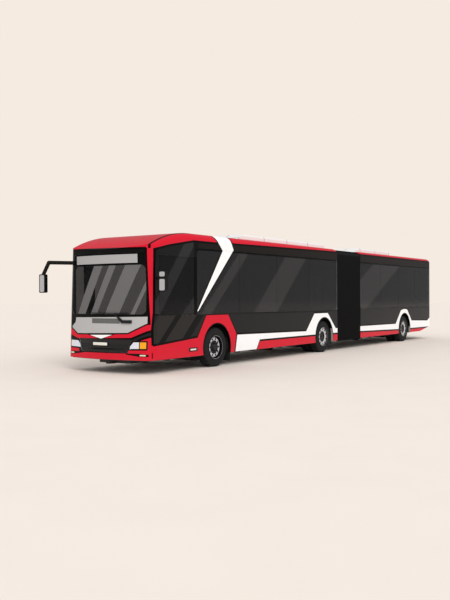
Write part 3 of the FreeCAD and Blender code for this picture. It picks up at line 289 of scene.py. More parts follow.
def smoke(mat, station, height):
    # The dark side band, darker at the driver: slanted sheens, painted reflections that run from pane
    # to post to pane, with a black post behind the driver and a lighter rounded field from there on
    s = smokeBand
    # The sheens are painted reflections: lighter slanted streaks over the dark glass and pillars
    driverPaintedReflections, cabinPaintedReflections = [either(mat, *[
        slanted(mat, station, height, lean, s["paintedReflectionFoot"], low, high)
        for lean, low, high in s[name]]) for name in ("driverPaintedReflections", "cabinPaintedReflections")]
    colour = paintOver(mat, driverPaintedReflections, s["driver"], s["driverPaintedReflection"])
    post = between(mat, station, s["postStart"], pastTail)
    colour = paintOver(mat, post, colour, s["post"])
    behind = between(mat, depthRounded(mat, station, height, *s["cabinField"]), 0, None)
    colour = paintOver(mat, behind, colour, s["cabin"])
    return paintOver(mat, both(mat, cabinPaintedReflections, behind), colour, s["cabinPaintedReflection"])


def boltMasks(mat, station, height):
    # The white bolt of the livery and the coachline round it, on paint and glass alike
    edges = [brokenLine(mat, height, name) for name in ("boltAhead", "boltBehind")]
    foot = livery["boltFoot"]
    white = both(mat, between(mat, station, *edges), between(mat, height, foot, None))
    lines = [nearLine(mat, station, edge, livery["lineWidth"]) for edge in edges]
    return white, both(mat, either(mat, *lines), between(mat, height, foot - 0.02, None))


def sidePaint(paint, station, height):
    # Red eaves, the dark band, and the dark, white and red skirt, with a coachline at each edge
    width = livery["lineWidth"]
    redFoot, darkFoot, skirtTop, belt = [brokenLine(paint, station, name) for name in
                                         ("redFoot", "darkFoot", "skirtTop", "belt")]
    belowDark = between(paint, height, None, darkFoot)
    whiteStart = addNode(paint, "Math", [height, *livery["whiteStart"]], operation="MULTIPLY_ADD")
    behindStart = between(paint, station, whiteStart, None)
    white = both(paint, behindStart, between(paint, height, skirtTop, darkFoot))
    colour = paintOver(paint, white, "red", "white")
    lower = between(paint, height, darkFoot, belt)
    colour = paintOver(paint, lower, colour, "lower")
    # Painted reflections: lighter and darker slanted streaks across the dark band below the belt
    for low, high, shade in livery["lowerPaintedReflections"]:
        paintedReflection = slanted(paint, station, height, *livery["lowerSlant"], low, high)
        colour = paintOver(paint, both(paint, paintedReflection, lower), colour, shade)
    upper = between(paint, height, belt, redFoot)
    colour = paintOver(paint, upper, colour, smoke(paint, station, height))
    behindDriver = between(paint, station, livery["headerStart"], pastTail)
    header = both(paint, upper, between(paint, height, livery["headerFoot"], None), behindDriver)
    colour = paintOver(paint, header, colour, "upper")
    lines = either(
        paint, both(paint, belowDark, nearLine(paint, station, whiteStart, width)),
        both(paint, nearLine(paint, height, skirtTop, width), behindStart),
        both(paint, nearLine(paint, height, livery["headerFoot"], livery["headerLine"]),
             behindDriver),
        nearLine(paint, height, belt, livery["beltLine"]),
        nearLine(paint, height, redFoot, width), nearLine(paint, height, darkFoot, width),
        nearLine(paint, fromWheel(paint, station, height), livery["archRadius"],
                 livery["archLine"]))
    colour = paintOver(paint, lines, colour, "coachline")
    bolt, boltLine = boltMasks(paint, station, height)
    colour = paintOver(paint, bolt, colour, "white")
    return paintOver(paint, boltLine, colour, "coachline")


def nosePaint(paint, x, across, height):
    # The dark surround of the screen, the grille's band, the grey lid, and the lamps' places
    width = livery["lineWidth"]
    pillarFront = brokenLine(paint, height, "pillarFront")
    brow, maskTop, maskFoot = [brokenLine(paint, x, name) for name in
                               ("brow", "maskTop", "maskFoot")]
    inward = between(paint, x, None, pillarFront)
    surround = both(paint, inward, between(paint, height, livery["surroundFoot"], brow))
    corner = both(paint, between(paint, height, *livery["cornerSpan"]),
                  between(paint, x, None, livery["cornerX"]))
    face = paintOver(paint, either(paint, surround, corner), "red", "dark")
    face = paintOver(paint, between(paint, height, maskFoot, maskTop), face, "lower")
    lines = either(
        paint, both(paint, nearLine(paint, height, brow, width), inward),
        nearLine(paint, height, maskTop, width), nearLine(paint, height, maskFoot, width),
        both(paint, nearLine(paint, x, pillarFront, width),
             between(paint, height, *livery["postSpan"])))
    face = paintOver(paint, lines, face, "coachline")
    lid = either(paint, *[depthInside(paint, x, height, livery[name]) for name in
                          ("lid", "lidEar")])
    face = panel(paint, face, lid, "lidShade")
    # The slot's black fill is painted shade in place of a real opening
    for along, outline, shade, line in (
            (x, "intake", "intakeShade", 0), (x, "chevron", "white", livery["fineLine"]),
            (across, "lamp", "lampShade", livery["lampLine"]),
            (across, "slot", "slotPaintedShade", livery["fineLine"])):
        depth = depthInside(paint, along, height, livery[outline])
        face = panel(paint, face, depth, shade, line)
    fog = depthRounded(paint, across, height, *livery["fog"])
    return panel(paint, face, fog, "fogShade", 0)


def enamel(name, middle):
    # Two-pack acrylic enamel, sprayed and polished: a deep even colour under a clear gloss, with
    # the orange peel of a spray gun, about 4 mm across, and a little road dust low down
    paint, place = startMaterial(name)
    x, across, station, height = axes(paint, place)
    pillarRear = brokenLine(paint, height, "pillarRear")
    colour = paintOver(paint, between(paint, station, None, pillarRear),
                       sidePaint(paint, station, height), nosePaint(paint, x, across, height))
    width = livery["lineWidth"]
    pillar = both(paint, nearLine(paint, station, pillarRear, width),
                  between(paint, height, *livery["pillarSpan"]), between(paint, x, 0, None))
    joint = both(paint, nearLine(paint, station, livery["joint"], livery["jointLine"]),
                 between(paint, height, *livery["jointSpan"]))
    seam = both(paint, nearLine(paint, across, livery["seam"], width),
                between(paint, station, *livery["seamSpan"]),
                between(paint, height, livery["seamFoot"], None))
    colour = paintOver(paint, either(paint, pillar, joint, seam), colour, "coachline")
    colour = paintOver(paint, facesOut(paint, place, middle), "lining", colour)
    dust = addNode(paint, "MapRange", {"Value": height, "From Min": 0.3, "From Max": 0.6,
                   "To Min": 0.05, "To Max": 0.0})
    dust = both(paint, dust, grain(paint, place, 160, 6))
    gloss = addNode(paint, "MapRange", {"Value": grain(paint, place, 220, 4), "To Min": 0.28,
                    "To Max": 0.38})
    return finishMaterial(paint, {"Base Color": paintOver(paint, dust, colour, "dust"),
                          "Roughness": gloss, "Normal": relief(paint, place, 0.02, 1, 4, 1),
                          "IOR": 1.38, "Specular IOR Level": 0.12, "Coat Weight": 0.05,
                          "Coat Roughness": 0.1})


def glassFinish(glass, place, colour, clear, alpha):
    # The last steps of every glass: a faint ripple, and a haze of wash marks in its gloss; it is
    # see-through by the alpha where clear is 1
    haze = addNode(glass, "MapRange", {"Value": grain(glass, place, 90, 5), "To Min": 0.05,
                   "To Max": 0.12})
    cover = addNode(glass, "MapRange", {"Value": clear, "To Min": 1.0, "To Max": alpha})
    return finishMaterial(glass, {"Base Color": colour, "Roughness": haze, "Alpha": cover,
                          "IOR": 1.38, "Specular IOR Level": 0.12,
                          "Normal": relief(glass, place, 0.02, 1, 300, 1)})


def sideGlazing():
    # Float glass, toughened and body-tinted: dark grey with a wet gloss; the slanted sheens are
    # lighter painted reflections, and the livery's bolt is a printed film on it
    glass, place = startMaterial("tintedGlassSide")
    x, across, station, height = axes(glass, place)
    bolt, line = boltMasks(glass, station, height)
    colour = paintOver(glass, bolt, smoke(glass, station, height), "white")
    colour = paintOver(glass, line, colour, "coachline")
    bare = addNode(glass, "Math", [1, either(glass, bolt, line)], operation="SUBTRACT")
    return glassFinish(glass, place, colour, bare, 0.84)


screen = {
    "lean": (0.055, -0.073),    # how far the pattern slides across a metre up, and from where
    "field": ((-0.96, 1.0), (1.15, 2.42), 0.11), "shade": "#464544", "gap": (-0.65, -0.26),
    "paintedReflectionLean": 0.55, "paintedReflections": [(-0.88, -0.60), (-0.41, -0.21), (0.04, 0.44), (0.75, 0.85)],
    "paintedReflectionShade": "#747373", "display": ((-0.93, 2.456), (0.97, 2.672), 0.006),
    "displayShade": "#adadad", "displayLine": 0.022,
}


def windscreenGlass():
    # Laminated glass, grey-tinted, with a black ceramic border fired round its edge, pale slanted
    # painted reflections, and a pale blank field where the destination display shows through
    glass, place = startMaterial("laminatedGlassScreen")
    x, across, station, height = axes(glass, place)
    upright = addNode(glass, "Math", [height, *screen["lean"]], operation="MULTIPLY_ADD")
    along = addNode(glass, "Math", [x, upright], operation="ADD")
    clear = between(glass, depthRounded(glass, along, height, *screen["field"]), 0, None)
    inner = paintOver(glass, between(glass, along, *screen["gap"]), screen["shade"], "dark")
    # Painted reflections: pale slanted streaks across the screen
    paintedReflections = [slanted(glass, along, height, screen["paintedReflectionLean"], smokeBand["paintedReflectionFoot"], low, high)
              for low, high in screen["paintedReflections"]]
    inner = paintOver(glass, either(glass, *paintedReflections), inner, screen["paintedReflectionShade"])
    colour = paintOver(glass, clear, "dark", inner)
    display = depthRounded(glass, along, height, *screen["display"])
    colour = panel(glass, colour, display, screen["displayShade"], screen["displayLine"])
    return glassFinish(glass, place, colour, clear, 0.84)


leaves = {
    "starts": (0.56, 4.94, 12.0), "panes": ((0.09, 0.56), (0.69, 1.16)), "foot": 0.448,
    "top": 2.352, "corner": 0.03, "gasket": 0.024, "frame": "#161617", "pane": "#2c2d2d",
    "rubber": "#050505",
}


def doorLeafFinish():
    # Black enamelled leaf frames, satin, each round a tinted pane in a duller black gasket
    leaf, place = startMaterial("doorLeafEnamelAndGlass")
    x, across, station, height = axes(leaf, place)
    panes = either(leaf, *[depthRounded(leaf, station, height, (start + low, leaves["foot"]),
                   (start + high, leaves["top"]), leaves["corner"])
                   for start in leaves["starts"] for low, high in leaves["panes"]])
    clear = between(leaf, panes, 0, None)
    colour = paintOver(leaf, clear, leaves["frame"], leaves["pane"])
    gasket = nearLine(leaf, panes, -leaves["gasket"] / 2, leaves["gasket"])
    return glassFinish(leaf, place, paintOver(leaf, gasket, colour, leaves["rubber"]), clear, 0.7)


def plainFinish(name, colour, second, spotMm, roughness, bumpMm=0, bumpSpotMm=2, metallic=0.0,
                specular=0.5):
    # Two near colours in spots, with a roughness that follows them and a fine relief
    made, place = startMaterial(name)
    spots = grain(made, place, spotMm, 5)
    rough = addNode(made, "MapRange", {"Value": spots, "To Min": roughness - 0.08,
                    "To Max": roughness + 0.08})
    return finishMaterial(made, {"Base Color": paintOver(made, spots, colour, second),
                          "Roughness": rough, "Metallic": metallic, "Specular IOR Level": specular,
                          "Normal": relief(made, place, 0.5, bumpMm, bumpSpotMm)})


frontEnamel = enamel("sprayedEnamelFront", (0, -4.0, 1.8))
rearEnamel = enamel("sprayedEnamelRear", (0, 5.6, 1.8))
sideGlass = sideGlazing()
screenGlass = windscreenGlass()
leafFinish = doorLeafFinish()
# Gloss black acrylic capping: near black, mirror-like but for fine wash marks
blackCapping = plainFinish("acrylicCappingBlack", "#1b1b1b", "#232323", 60, 0.3, 0.02,
                           specular=0.3)
# Grained black ABS: matt, with the leathery relief of its mould, about 2 mm
blackAbs = plainFinish("grainedAbsBlack", "#141415", "#1e1e20", 30, 0.55, 0.15, 2, specular=0.3)
# Electrocoated steel frame: satin black with dust that settled in patches
chassisSteel = plainFinish("electrocoatedSteel", "#1f2022", "#3a3733", 220, 0.6, 0.2, 6)
# Sand-cast iron under thin primer: dull, dark, pitted by the sand at 3 mm
castIron = plainFinish("castIronPrimed", "#2b2c2e", "#403d3a", 90, 0.7, 0.6, 3)
# Sand-cast iron with baked-on oil: lighter and a little smoother, blotched by heat
engineIron = plainFinish("castIronEngine", "#4a4c4e", "#36332f", 120, 0.65, 0.6, 4)
# Studded vinyl safety floor: matt grey with bright grit specks
safetyVinyl = plainFinish("safetyVinyl", "#4a4d52", "#5b5e63", 6, 0.75, 0.2, 3)
# Machined steel under a film of grease: dark grey, satin, smeared
turntableSteel = plainFinish("turntableSteel", "#3a3b3d", "#4b4a47", 80, 0.5, 0.2, 4)
# Clear polycarbonate lens over white: bright, glossy; the blank plate's sheet is much like it
markerLens = plainFinish("polycarbonateMarker", "#f4f1ea", "#e8e4da", 20, 0.2, 0.05, 6)
# Moulded polycarbonate, red all through: deep under a wet gloss, with soft flutes
redLamp = plainFinish("polycarbonateRed", "#c01525", "#a00f1d", 20, 0.15, 0.2, 8)
# Acrylic filter over an unlit display: a flat even grey with a soft shine
displayGlass = plainFinish("displayFilter", "#b3b3b3", "#adadad", 200, 0.25, 0.01)
# Woven polyester coated with synthetic rubber: black, dull on the folds
gangwayCloth = plainFinish("coatedGangwayCloth", "#050506", "#0a0a0b", 60, 0.5, 0.4, 3,
                           specular=0.15)
# Stainless steel tube, brushed and polished: bright, with a soft cloudy shine
brushedSteel = plainFinish("stainlessBrushed", "#b9babc", "#a7a8aa", 8, 0.34, 0.02, 1, metallic=0.9)
# Moulded polypropylene seat shells: mid grey, satin, with the fine grain of the mould
seatShell = plainFinish("polypropyleneGrey", "#55585c", "#5f6266", 60, 0.5, 0.1, 2)
# Wool moquette: a short dense pile, deep red flecked with near black, quite matt
seatMoquette = plainFinish("woolMoquette", "#7a1c29", "#51121c", 9, 0.9, 0.5, 2)

pods = {"length": 1.27, "joint": 0.40, "jointLine": 0.016, "foot": 3.200, "footLine": 0.030,
        "seam": 0.45, "seamLine": 0.012, "rubber": "#0b0b0b"}


def podFinish():
    # Glass-fibre covers with a white gelcoat, satin, parted by black rubber joints
    cover, place = startMaterial("gelcoatPodCover")
    x, across, station, height = axes(cover, place)
    turn = addNode(cover, "Math", [station, pods["length"]], operation="MODULO")
    lines = either(cover, nearLine(cover, turn, pods["joint"], pods["jointLine"]),
                   nearLine(cover, height, pods["foot"], pods["footLine"]),
                   nearLine(cover, across, pods["seam"], pods["seamLine"]))
    tone = paintOver(cover, grain(cover, place, 400, 4), "#fbfbfa", "#f1f1ef")
    return finishMaterial(cover, {"Base Color": paintOver(cover, lines, tone, pods["rubber"]),
                          "Roughness": 0.34, "Specular IOR Level": 0.3,
                          "Normal": relief(cover, place, 0.3, 0.5, 80, 2)})


def wheelFinish(hubWidth=0.330, edge=0.292, edgeWidth=0.022):
    # Pressed steel, painted silver: satin with a fine sparkle; the hub and the rim's edge are black,
    # and the barrel has painted shade
    wheel, place = startMaterial("wheelEnamelSilver")
    x, across, station, height = axes(wheel, place)
    radius = fromWheel(wheel, station, height)
    tone = paintOver(wheel, grain(wheel, place, 30, 5), "#d3d4d6", "#c3c4c6")
    tone = paintOver(wheel, nearLine(wheel, radius, 0, hubWidth), tone, "#141415")
    tone = paintOver(wheel, nearLine(wheel, radius, edge, edgeWidth), tone, "#0c0c0d")
    # The barrel, whose surface doesn't look sideways, is painted near black: painted shade, as it
    # lies in the dark
    normal = addNode(wheel, "SeparateXYZ", [addNode(wheel, "TexCoord").outputs["Normal"]])
    shadedBarrel = nearLine(wheel, normal.outputs["X"], 0, 1.2)
    return finishMaterial(wheel, {"Base Color": paintOver(wheel, shadedBarrel, tone, "#0f0f10"),
                          "Roughness": 0.42, "Metallic": 0.1, "Specular IOR Level": 0.4,
                          "Normal": relief(wheel, place, 0.3, 0.1, 2, 2)})


# The near mirror's grey panel is in two, with its arm's line between them
mirrorPanels = {
    "upper": ((1.537, 2.150), (1.683, 2.252), 0.030),
    "lower": ((1.537, 1.850), (1.683, 2.095), 0.030),
    "whole": ((1.537, 1.838), (1.683, 2.232), 0.040), "shell": "#0c0c0c", "panel": "#b1b1b3",
}


def mirrorFinish():
    # Grained black ABS shells whose front faces carry a satin grey panel
    shell, place = startMaterial("mirrorAbs")
    x, across, station, height = axes(shell, place)
    upper, lower, whole = [depthRounded(shell, across, height, *mirrorPanels[name]) for name in
                           ("upper", "lower", "whole")]
    field = addNode(shell, "MixRGB", [between(shell, x, 0, None), whole,
                    either(shell, upper, lower)])
    normal = addNode(shell, "SeparateXYZ", [addNode(shell, "TexCoord").outputs["Normal"]])
    shown = both(shell, between(shell, field, 0, None),
                 between(shell, normal.outputs["Y"], None, -0.7))
    colour = paintOver(shell, shown, mirrorPanels["shell"], mirrorPanels["panel"])
    return finishMaterial(shell, {"Base Color": colour, "Roughness": 0.5, "Specular IOR Level": 0.2,
                          "Normal": relief(shell, place, 0.4, 0.15, 2)})


lamps = {
    "outline": [(0.734, 0.552), (1.160, 0.560), (1.162, 0.737), (0.833, 0.733), (0.748, 0.640)],
    "amberLeft": (0.985, 2), "amberRight": (-2, -1.12), "bezel": 0.018, "divider": 0.022,
    "clear": "#dfe3ee", "amber": "#f7a81c", "black": "#0a0a0a",
}


def lampFinish():
    # Polycarbonate lenses: clear over the headlamp, amber over the turn lamp, in a black bezel
    lens, place = startMaterial("polycarbonateHeadlamp")
    x, across, station, height = axes(lens, place)
    depth = depthInside(lens, across, height, lamps["outline"])
    amber = either(lens, *[between(lens, x, *lamps[name]) for name in ("amberLeft", "amberRight")])
    rim = either(lens, between(lens, depth, None, lamps["bezel"]),
                 nearLine(lens, x, lamps["amberLeft"][0], lamps["divider"]))
    colour = paintOver(lens, amber, lamps["clear"], lamps["amber"])
    flutes = addNode(lens, "TexWave", {"Vector": place, "Scale": 30}, bands_direction="X")
    flutes = addNode(lens, "Bump", {"Strength": 0.15, "Distance": 0.0005, "Height": flutes})
    return finishMaterial(lens, {"Base Color": paintOver(lens, rim, colour, lamps["black"]),
                          "Roughness": 0.18, "Specular IOR Level": 0.35, "Normal": flutes})


def tyreRubber():
    # Carbon-black rubber, vulcanised in a mould: dark grey, dull, dusty in the tread
    made, place = startMaterial("vulcanisedRubber")
    colour = paintOver(made, grain(made, place, 70, 5), "#131516", "#1c1f20")
    return finishMaterial(made, {"Base Color": colour, "Roughness": 0.72,
                          "Normal": relief(made, place, 0.5, 0.4, 3), "Specular IOR Level": 0.3})


podCover, wheelPaint, mirrorShell = podFinish(), wheelFinish(), mirrorFinish()
lampLens, rubber = lampFinish(), tyreRubber()
print("materials made:", len(bpy.data.materials))


def dress(material, *nodes):
    for name in nodes:
        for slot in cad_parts[name].material_slots:
            slot.material = material


dress(frontEnamel, "front_wall_left", "front_wall_right", "front_roof", "front_mask",
      "front_flap")
dress(rearEnamel, "rear_wall_left", "rear_wall_right", "rear_roof", "rear_end")
dress(sideGlass, "front_side_glass", "rear_glass")
dress(screenGlass, "windscreen")
dress(leafFinish, *[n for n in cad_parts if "leaf" in n])
dress(blackCapping, "front_grille", "engine_hatch")
dress(blackAbs, "wiper", "dashboard")
dress(mirrorShell, "mirrors")
dress(displayGlass, "destination_display")
dress(lampLens, "headlamps")
dress(redLamp, "tail_lamps")
dress(chassisSteel, "front_chassis", "rear_chassis", "front_cross_members", "rear_cross_members",
      "front_wheelhouses", "rear_wheelhouses")
dress(castIron, "front_car_axles", "rear_axle", "knuckle_left", "knuckle_right", "track_rod")
dress(engineIron, "engine_block")
dress(safetyVinyl, "front_floor", "rear_floor")
dress(podCover, "front_roof_pod", "rear_roof_pod")
dress(turntableSteel, "turntable_base", "turntable_top")
dress(wheelPaint, *[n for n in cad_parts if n.startswith("rim_")])
dress(rubber, *[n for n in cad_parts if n.startswith("tyre")])
dress(seatShell, "front_seats", "rear_seats")
dress(gangwayCloth, "gangway_bellows")


def place(name, form, material, body=None, slot=None, replaces=(), smooth=30):
    # Makes a finished mesh into a piece of the scene, riding on its body
    data = bpy.data.meshes.new(name)
    form.to_mesh(data)
    form.free()
    data.materials.append(material)
    piece = bpy.data.objects.new(name, data)
    scene.collection.objects.link(piece)
    if smooth:
        data.shade_smooth()
        with bpy.context.temp_override(object=piece, selected_editable_objects=[piece],
                                       active_object=piece):
            bpy.ops.object.shade_smooth_by_angle(angle=math.radians(smooth))
    if body:
        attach(piece, body)
    if replaces:
        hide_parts(*replaces)
    return piece


def box(form, low, high, bevel=0.0, segments=2):
    # Adds a block between two corners, with rounded edges
    made = bmesh.ops.create_cube(form, size=1)["verts"]
    size = [b - a for a, b in zip(low, high)]
    bmesh.ops.scale(form, verts=made, vec=size)
    bmesh.ops.translate(form, verts=made, vec=[(a + b) / 2 for a, b in zip(low, high)])
    if bevel:
        edges = list({e for v in made for e in v.link_edges})
        bmesh.ops.bevel(form, geom=edges, offset=bevel, segments=segments, profile=0.5,
                        affect="EDGES", material=-1)


def ring(form, profile, middle, steps):
    # A closed (distance along x, radius) profile turned about an axle line
    verts = [form.verts.new((middle[0] + x, middle[1], middle[2] + r)) for x, r in profile]
    edges = [form.edges.new(pair) for pair in zip(verts, verts[1:] + verts[:1])]
    bmesh.ops.spin(form, geom=verts + edges, cent=middle, axis=(1, 0, 0), angle=2 * math.pi,
                   steps=steps, use_merge=True)
    bmesh.ops.remove_doubles(form, verts=form.verts, dist=0.00005)
    bmesh.ops.recalc_face_normals(form, faces=form.faces)


wheels = {
    "stations": {"front": 2.70, "middle": 8.43, "rear": 15.07}, "rise": 0.478,
    "outer": 1.0975, "inner": 0.7625, "radius": 0.478,
    "wall": [(-0.1252, 0.2863), (-0.1252, 0.300), (-0.131, 0.322), (-0.1375, 0.362),
             (-0.1375, 0.392), (-0.134, 0.420), (-0.1265, 0.446), (-0.118, 0.466),
             (-0.0995, 0.478)],
    "grooves": (-0.062, -0.021, 0.021, 0.062), "grooveDepth": 0.011, "grooveHalf": 0.006,
    "blocks": 72, "lugSpan": (0.080, 0.124), "lugFoot": 0.455, "lugCut": 0.007,
    "bolts": 10, "nutCircle": 0.145, "discFace": 1.1735,
    "trim": [(1.150, 0.020), (1.178, 0.020), (1.182, 0.085), (1.172, 0.110), (1.172, 0.150),
             (1.200, 0.172), (1.208, 0.190), (1.208, 0.255), (1.196, 0.276), (1.184, 0.283),
             (1.160, 0.283)],
    "trimSteps": 60, "holeCircle": 0.222, "holeFace": 1.206, "holeRadius": 0.027,
}


def tyreForm(form, x, y):
    # Bead, bulging wall, square shoulder and a tread with four grooves and cut shoulder lugs
    w = wheels
    top, half = w["radius"], w["grooveHalf"]
    profile = list(w["wall"])
    for g in w["grooves"]:
        profile += [(g - half, top), (g - half * 0.6, top - w["grooveDepth"]),
                    (g + half * 0.6, top - w["grooveDepth"]), (g + half, top)]
    profile += [(-a, r) for a, r in reversed(w["wall"])]
    start = len(form.faces)
    ring(form, profile, (x, y, w["rise"]), w["blocks"])
    form.faces.ensure_lookup_table()
    lugs = []
    for face in form.faces[start:]:
        middle = face.calc_center_median() - Vector((x, y, w["rise"]))
        onShoulder = w["lugSpan"][0] < abs(middle.x) < w["lugSpan"][1]
        turn = math.atan2(middle.y, middle.z) / (2 * math.pi) * w["blocks"]
        if onShoulder and math.hypot(middle.y, middle.z) > w["lugFoot"] and math.floor(turn) % 3 == 0:
            lugs.append(face)
    bmesh.ops.inset_region(form, faces=lugs, thickness=0.004, depth=-w["lugCut"],
                           use_even_offset=True)


def roundAxle(y, face, radius, offset):
    # The places of the bolts or holes in a circle about an axle line, each turned to look along it
    for k in range(wheels["bolts"]):
        turn = 2 * math.pi * (k + offset) / wheels["bolts"]
        spot = Vector((face, y + radius * math.sin(turn), wheels["rise"] + radius * math.cos(turn)))
        yield Matrix.Translation(spot) @ Matrix.Rotation(math.pi / 2, 4, "Y")


def wheelNuts(form, y):
    # Hexagon nuts on washers, on the disc's flat
    for lie in roundAxle(y, wheels["discFace"], wheels["nutCircle"], 0.5):
        for sides, foot, top, depth, rise in ((12, 0.021, 0.019, 0.006, 0.002),
                                              (6, 0.016, 0.014, 0.026, 0.014)):
            bmesh.ops.create_cone(form, cap_ends=True, segments=sides, radius1=foot, radius2=top,
                                  depth=depth, matrix=lie @ Matrix.Translation((0, 0, rise)))


def wheelTrim(form, y):
    # The pressed cover over a pair of twins: a dished hub and a raised ring
    ring(form, wheels["trim"], (0, y, wheels["rise"]), wheels["trimSteps"])


def trimHoleShades(form, y):
    # Thin black discs of painted shade that read as the holes in the cover's ring
    for lie in roundAxle(y, wheels["holeFace"], wheels["holeCircle"], 0):
        bmesh.ops.create_cone(form, cap_ends=True, segments=20, radius1=wheels["holeRadius"],
                              radius2=wheels["holeRadius"], depth=0.008, matrix=lie)


for side, sign in (("left", 1), ("right", -1)):
    for which, station in wheels["stations"].items():
        single = which == "front"
        body = "wheel_%s_%s" % (which, side)
        form = bmesh.new()
        for x in (wheels["outer"],) if single else (wheels["outer"], wheels["inner"]):
            tyreForm(form, sign * x, at(station))
        node = ("tyre_front_" if single else "tyres_%s_" % which) + side
        place("tyreDetail_%s_%s" % (which, side), form, rubber, body, "tyre", [node])
        # The covers' holes are black discs of painted shade, not openings
        fittings = [("wheelFace", wheelNuts if single else wheelTrim, wheelPaint, "wheel_silver"),
                    ("wheelHoleShades", trimHoleShades, blackAbs, "black_plastic")]
        for label, shape, material, slot in fittings[:1 if single else 2]:
            form = bmesh.new()
            shape(form, at(station))
            if sign < 0:
                for vert in form.verts:
                    vert.co.x *= -1
                bmesh.ops.reverse_faces(form, faces=form.faces)
            place("%s_%s_%s" % (label, which, side), form, material, body, slot)
print("wheels dressed")

bellows = {
    "start": 9.332, "end": 11.078, "pleats": 14, "outer": 0.010, "depth": 0.062, "halfWidth": 1.275,
    "top": 3.194, "low": 0.287, "corner": 0.19, "cloth": 0.004, "stepsPerPleat": 8,
    "wallSteps": 6, "cornerSteps": 8, "crown": (0.66, 0.33, 0),
    "turnStart": 9.36, "turnEnd": 11.05, "turnHeight": 1.7,
}


def bellowsForm():
    # One hoop of points, drawn out along the bus and pushed in and out fold by fold
    b = bellows
    form = bmesh.new()
    corner, half, top = b["corner"], b["halfWidth"], b["top"]
    wall = top - corner - b["low"]
    # A point of the hoop is x, z and the turn of its way out
    arch = [(half, b["low"] + wall * i / b["wallSteps"], 0) for i in range(b["wallSteps"] + 1)]
    for i in range(1, b["cornerSteps"] + 1):
        turn = math.pi / 2 * i / b["cornerSteps"]
        arch.append((half - corner + corner * math.cos(turn),
                     top - corner + corner * math.sin(turn), turn))
    arch += [(share * (half - corner), top, math.pi / 2) for share in b["crown"]]
    arch += [(-x, z, math.pi - turn) for x, z, turn in reversed(arch[:-1])]
    steps = b["pleats"] * b["stepsPerPleat"]
    verts = [form.verts.new((x, at(b["start"]), z)) for x, z, turn in arch]
    edges = [form.edges.new(pair) for pair in zip(verts, verts[1:])]
    rows = [verts]
    for k in range(steps):
        out = bmesh.ops.extrude_edge_only(form, edges=edges)["geom"]
        verts = [v for v in out if isinstance(v, bmesh.types.BMVert)]
        edges = [e for e in out if isinstance(e, bmesh.types.BMEdge)]
        edges = [e for e in edges if e.verts[0] in verts and e.verts[1] in verts]
        bmesh.ops.translate(form, verts=verts, vec=(0, (b["end"] - b["start"]) / steps, 0))
        rows.append(verts)
    for k, row in enumerate(rows):
        fold = 0.5 - 0.5 * math.cos(2 * math.pi * k / b["stepsPerPleat"])
        inset = b["outer"] + b["depth"] * fold ** 0.8
        for v in row:
            turn = min(arch, key=lambda p: (p[0] - v.co.x) ** 2 + (p[1] - v.co.z) ** 2)[2]
            v.co.x -= inset * math.cos(turn)
            v.co.z -= inset * math.sin(turn)
    bmesh.ops.recalc_face_normals(form, faces=form.faces)
    bmesh.ops.solidify(form, geom=form.faces[:], thickness=b["cloth"])
    return form


cloth = place("gangwayBellows", bellowsForm(), gangwayCloth, None, "gangway_fabric",
              ["gangway_bellows"], smooth=50)
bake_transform(cloth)
print("bellows folded")


def tube(form, path, radius):
    # A round bar along a path, with a ball at each bend
    for start, end in zip(path, path[1:]):
        start, end = Vector(start), Vector(end)
        way = end - start
        lie = Matrix.Translation((start + end) / 2) @ way.to_track_quat("Z", "Y").to_matrix().to_4x4()
        bmesh.ops.create_cone(form, cap_ends=True, segments=20, radius1=radius, radius2=radius,
                              depth=way.length, matrix=lie)
    for spot in path[1:-1]:
        bmesh.ops.create_uvsphere(form, u_segments=20, v_segments=12, radius=radius,
                                  matrix=Matrix.Translation(spot))


def stationBox(form, low, high, bevel, segments=2):
    # A box whose corners are given by x, station and height
    box(form, (low[0], at(low[1]), low[2]), (high[0], at(high[1]), high[2]), bevel, segments)


# Points are x, station and height
trims = {
    "farArm": [(-1.12, 0.285, 2.52), (-1.42, -0.255, 2.52), (-1.61, -0.255, 2.24)],
    "farArmRadius": 0.044, "nearArm": [(1.262, 0.40, 2.12), (1.55, 0.225, 2.12)],
    "nearArmRadius": 0.030, "rail": ((1.268, 0.335, 1.74), (1.290, 0.378, 2.47)),
    "markerBezel": ((1.271, 1.55, 0.433), (1.279, 1.88, 0.526)),
    "markerLens": ((1.272, 1.605, 0.460), (1.284, 1.825, 0.499)),
    "mudflaps": [((1.02, 3.288, 0.11), (1.250, 3.300, 0.40)),
                 ((-1.250, 3.288, 0.11), (-1.02, 3.300, 0.40))],
    "plateHolder": ((-0.297, 0.018, 0.618), (0.152, 0.050, 0.706)),
    "plate": ((-0.285, 0.014, 0.630), (0.140, 0.024, 0.694)),
    "louvres": 9, "louvre": ((-0.70, 17.985, 0.80), (0.70, 18.008, 0.834)), "louvrePitch": 0.085,
}
form = bmesh.new()
for arm in ("farArm", "nearArm"):
    tube(form, [(x, at(station), z) for x, station, z in trims[arm]], trims[arm + "Radius"])
stationBox(form, *trims["rail"], 0.008, 3)
place("mirrorArmCovers", form, mirrorShell, "front_section", "black_plastic")

for name, boxes, bevel, segments, material, slot in (
        ("markerBezel", [trims["markerBezel"]], 0.0035, 2, blackAbs, "black_plastic"),
        ("markerLens", [trims["markerLens"]], 0.005, 3, markerLens, "lamp"),
        ("mudflaps", trims["mudflaps"], 0.005, 2, rubber, "black_plastic"),
        ("plateHolder", [trims["plateHolder"]], 0.004, 2, blackAbs, "black_plastic"),
        ("plateBlank", [trims["plate"]], 0.003, 2, markerLens, "white_paint")):
    form = bmesh.new()
    for low, high in boxes:
        stationBox(form, low, high, bevel, segments)
    place(name, form, material, "front_section", slot)

form = bmesh.new()
low, high = trims["louvre"]
for k in range(trims["louvres"]):
    rise = k * trims["louvrePitch"]
    stationBox(form, (*low[:2], low[2] + rise), (*high[:2], high[2] + rise), 0.005)
place("hatchLouvres", form, blackCapping, "rear_section", "black_plastic")
print("trims placed")

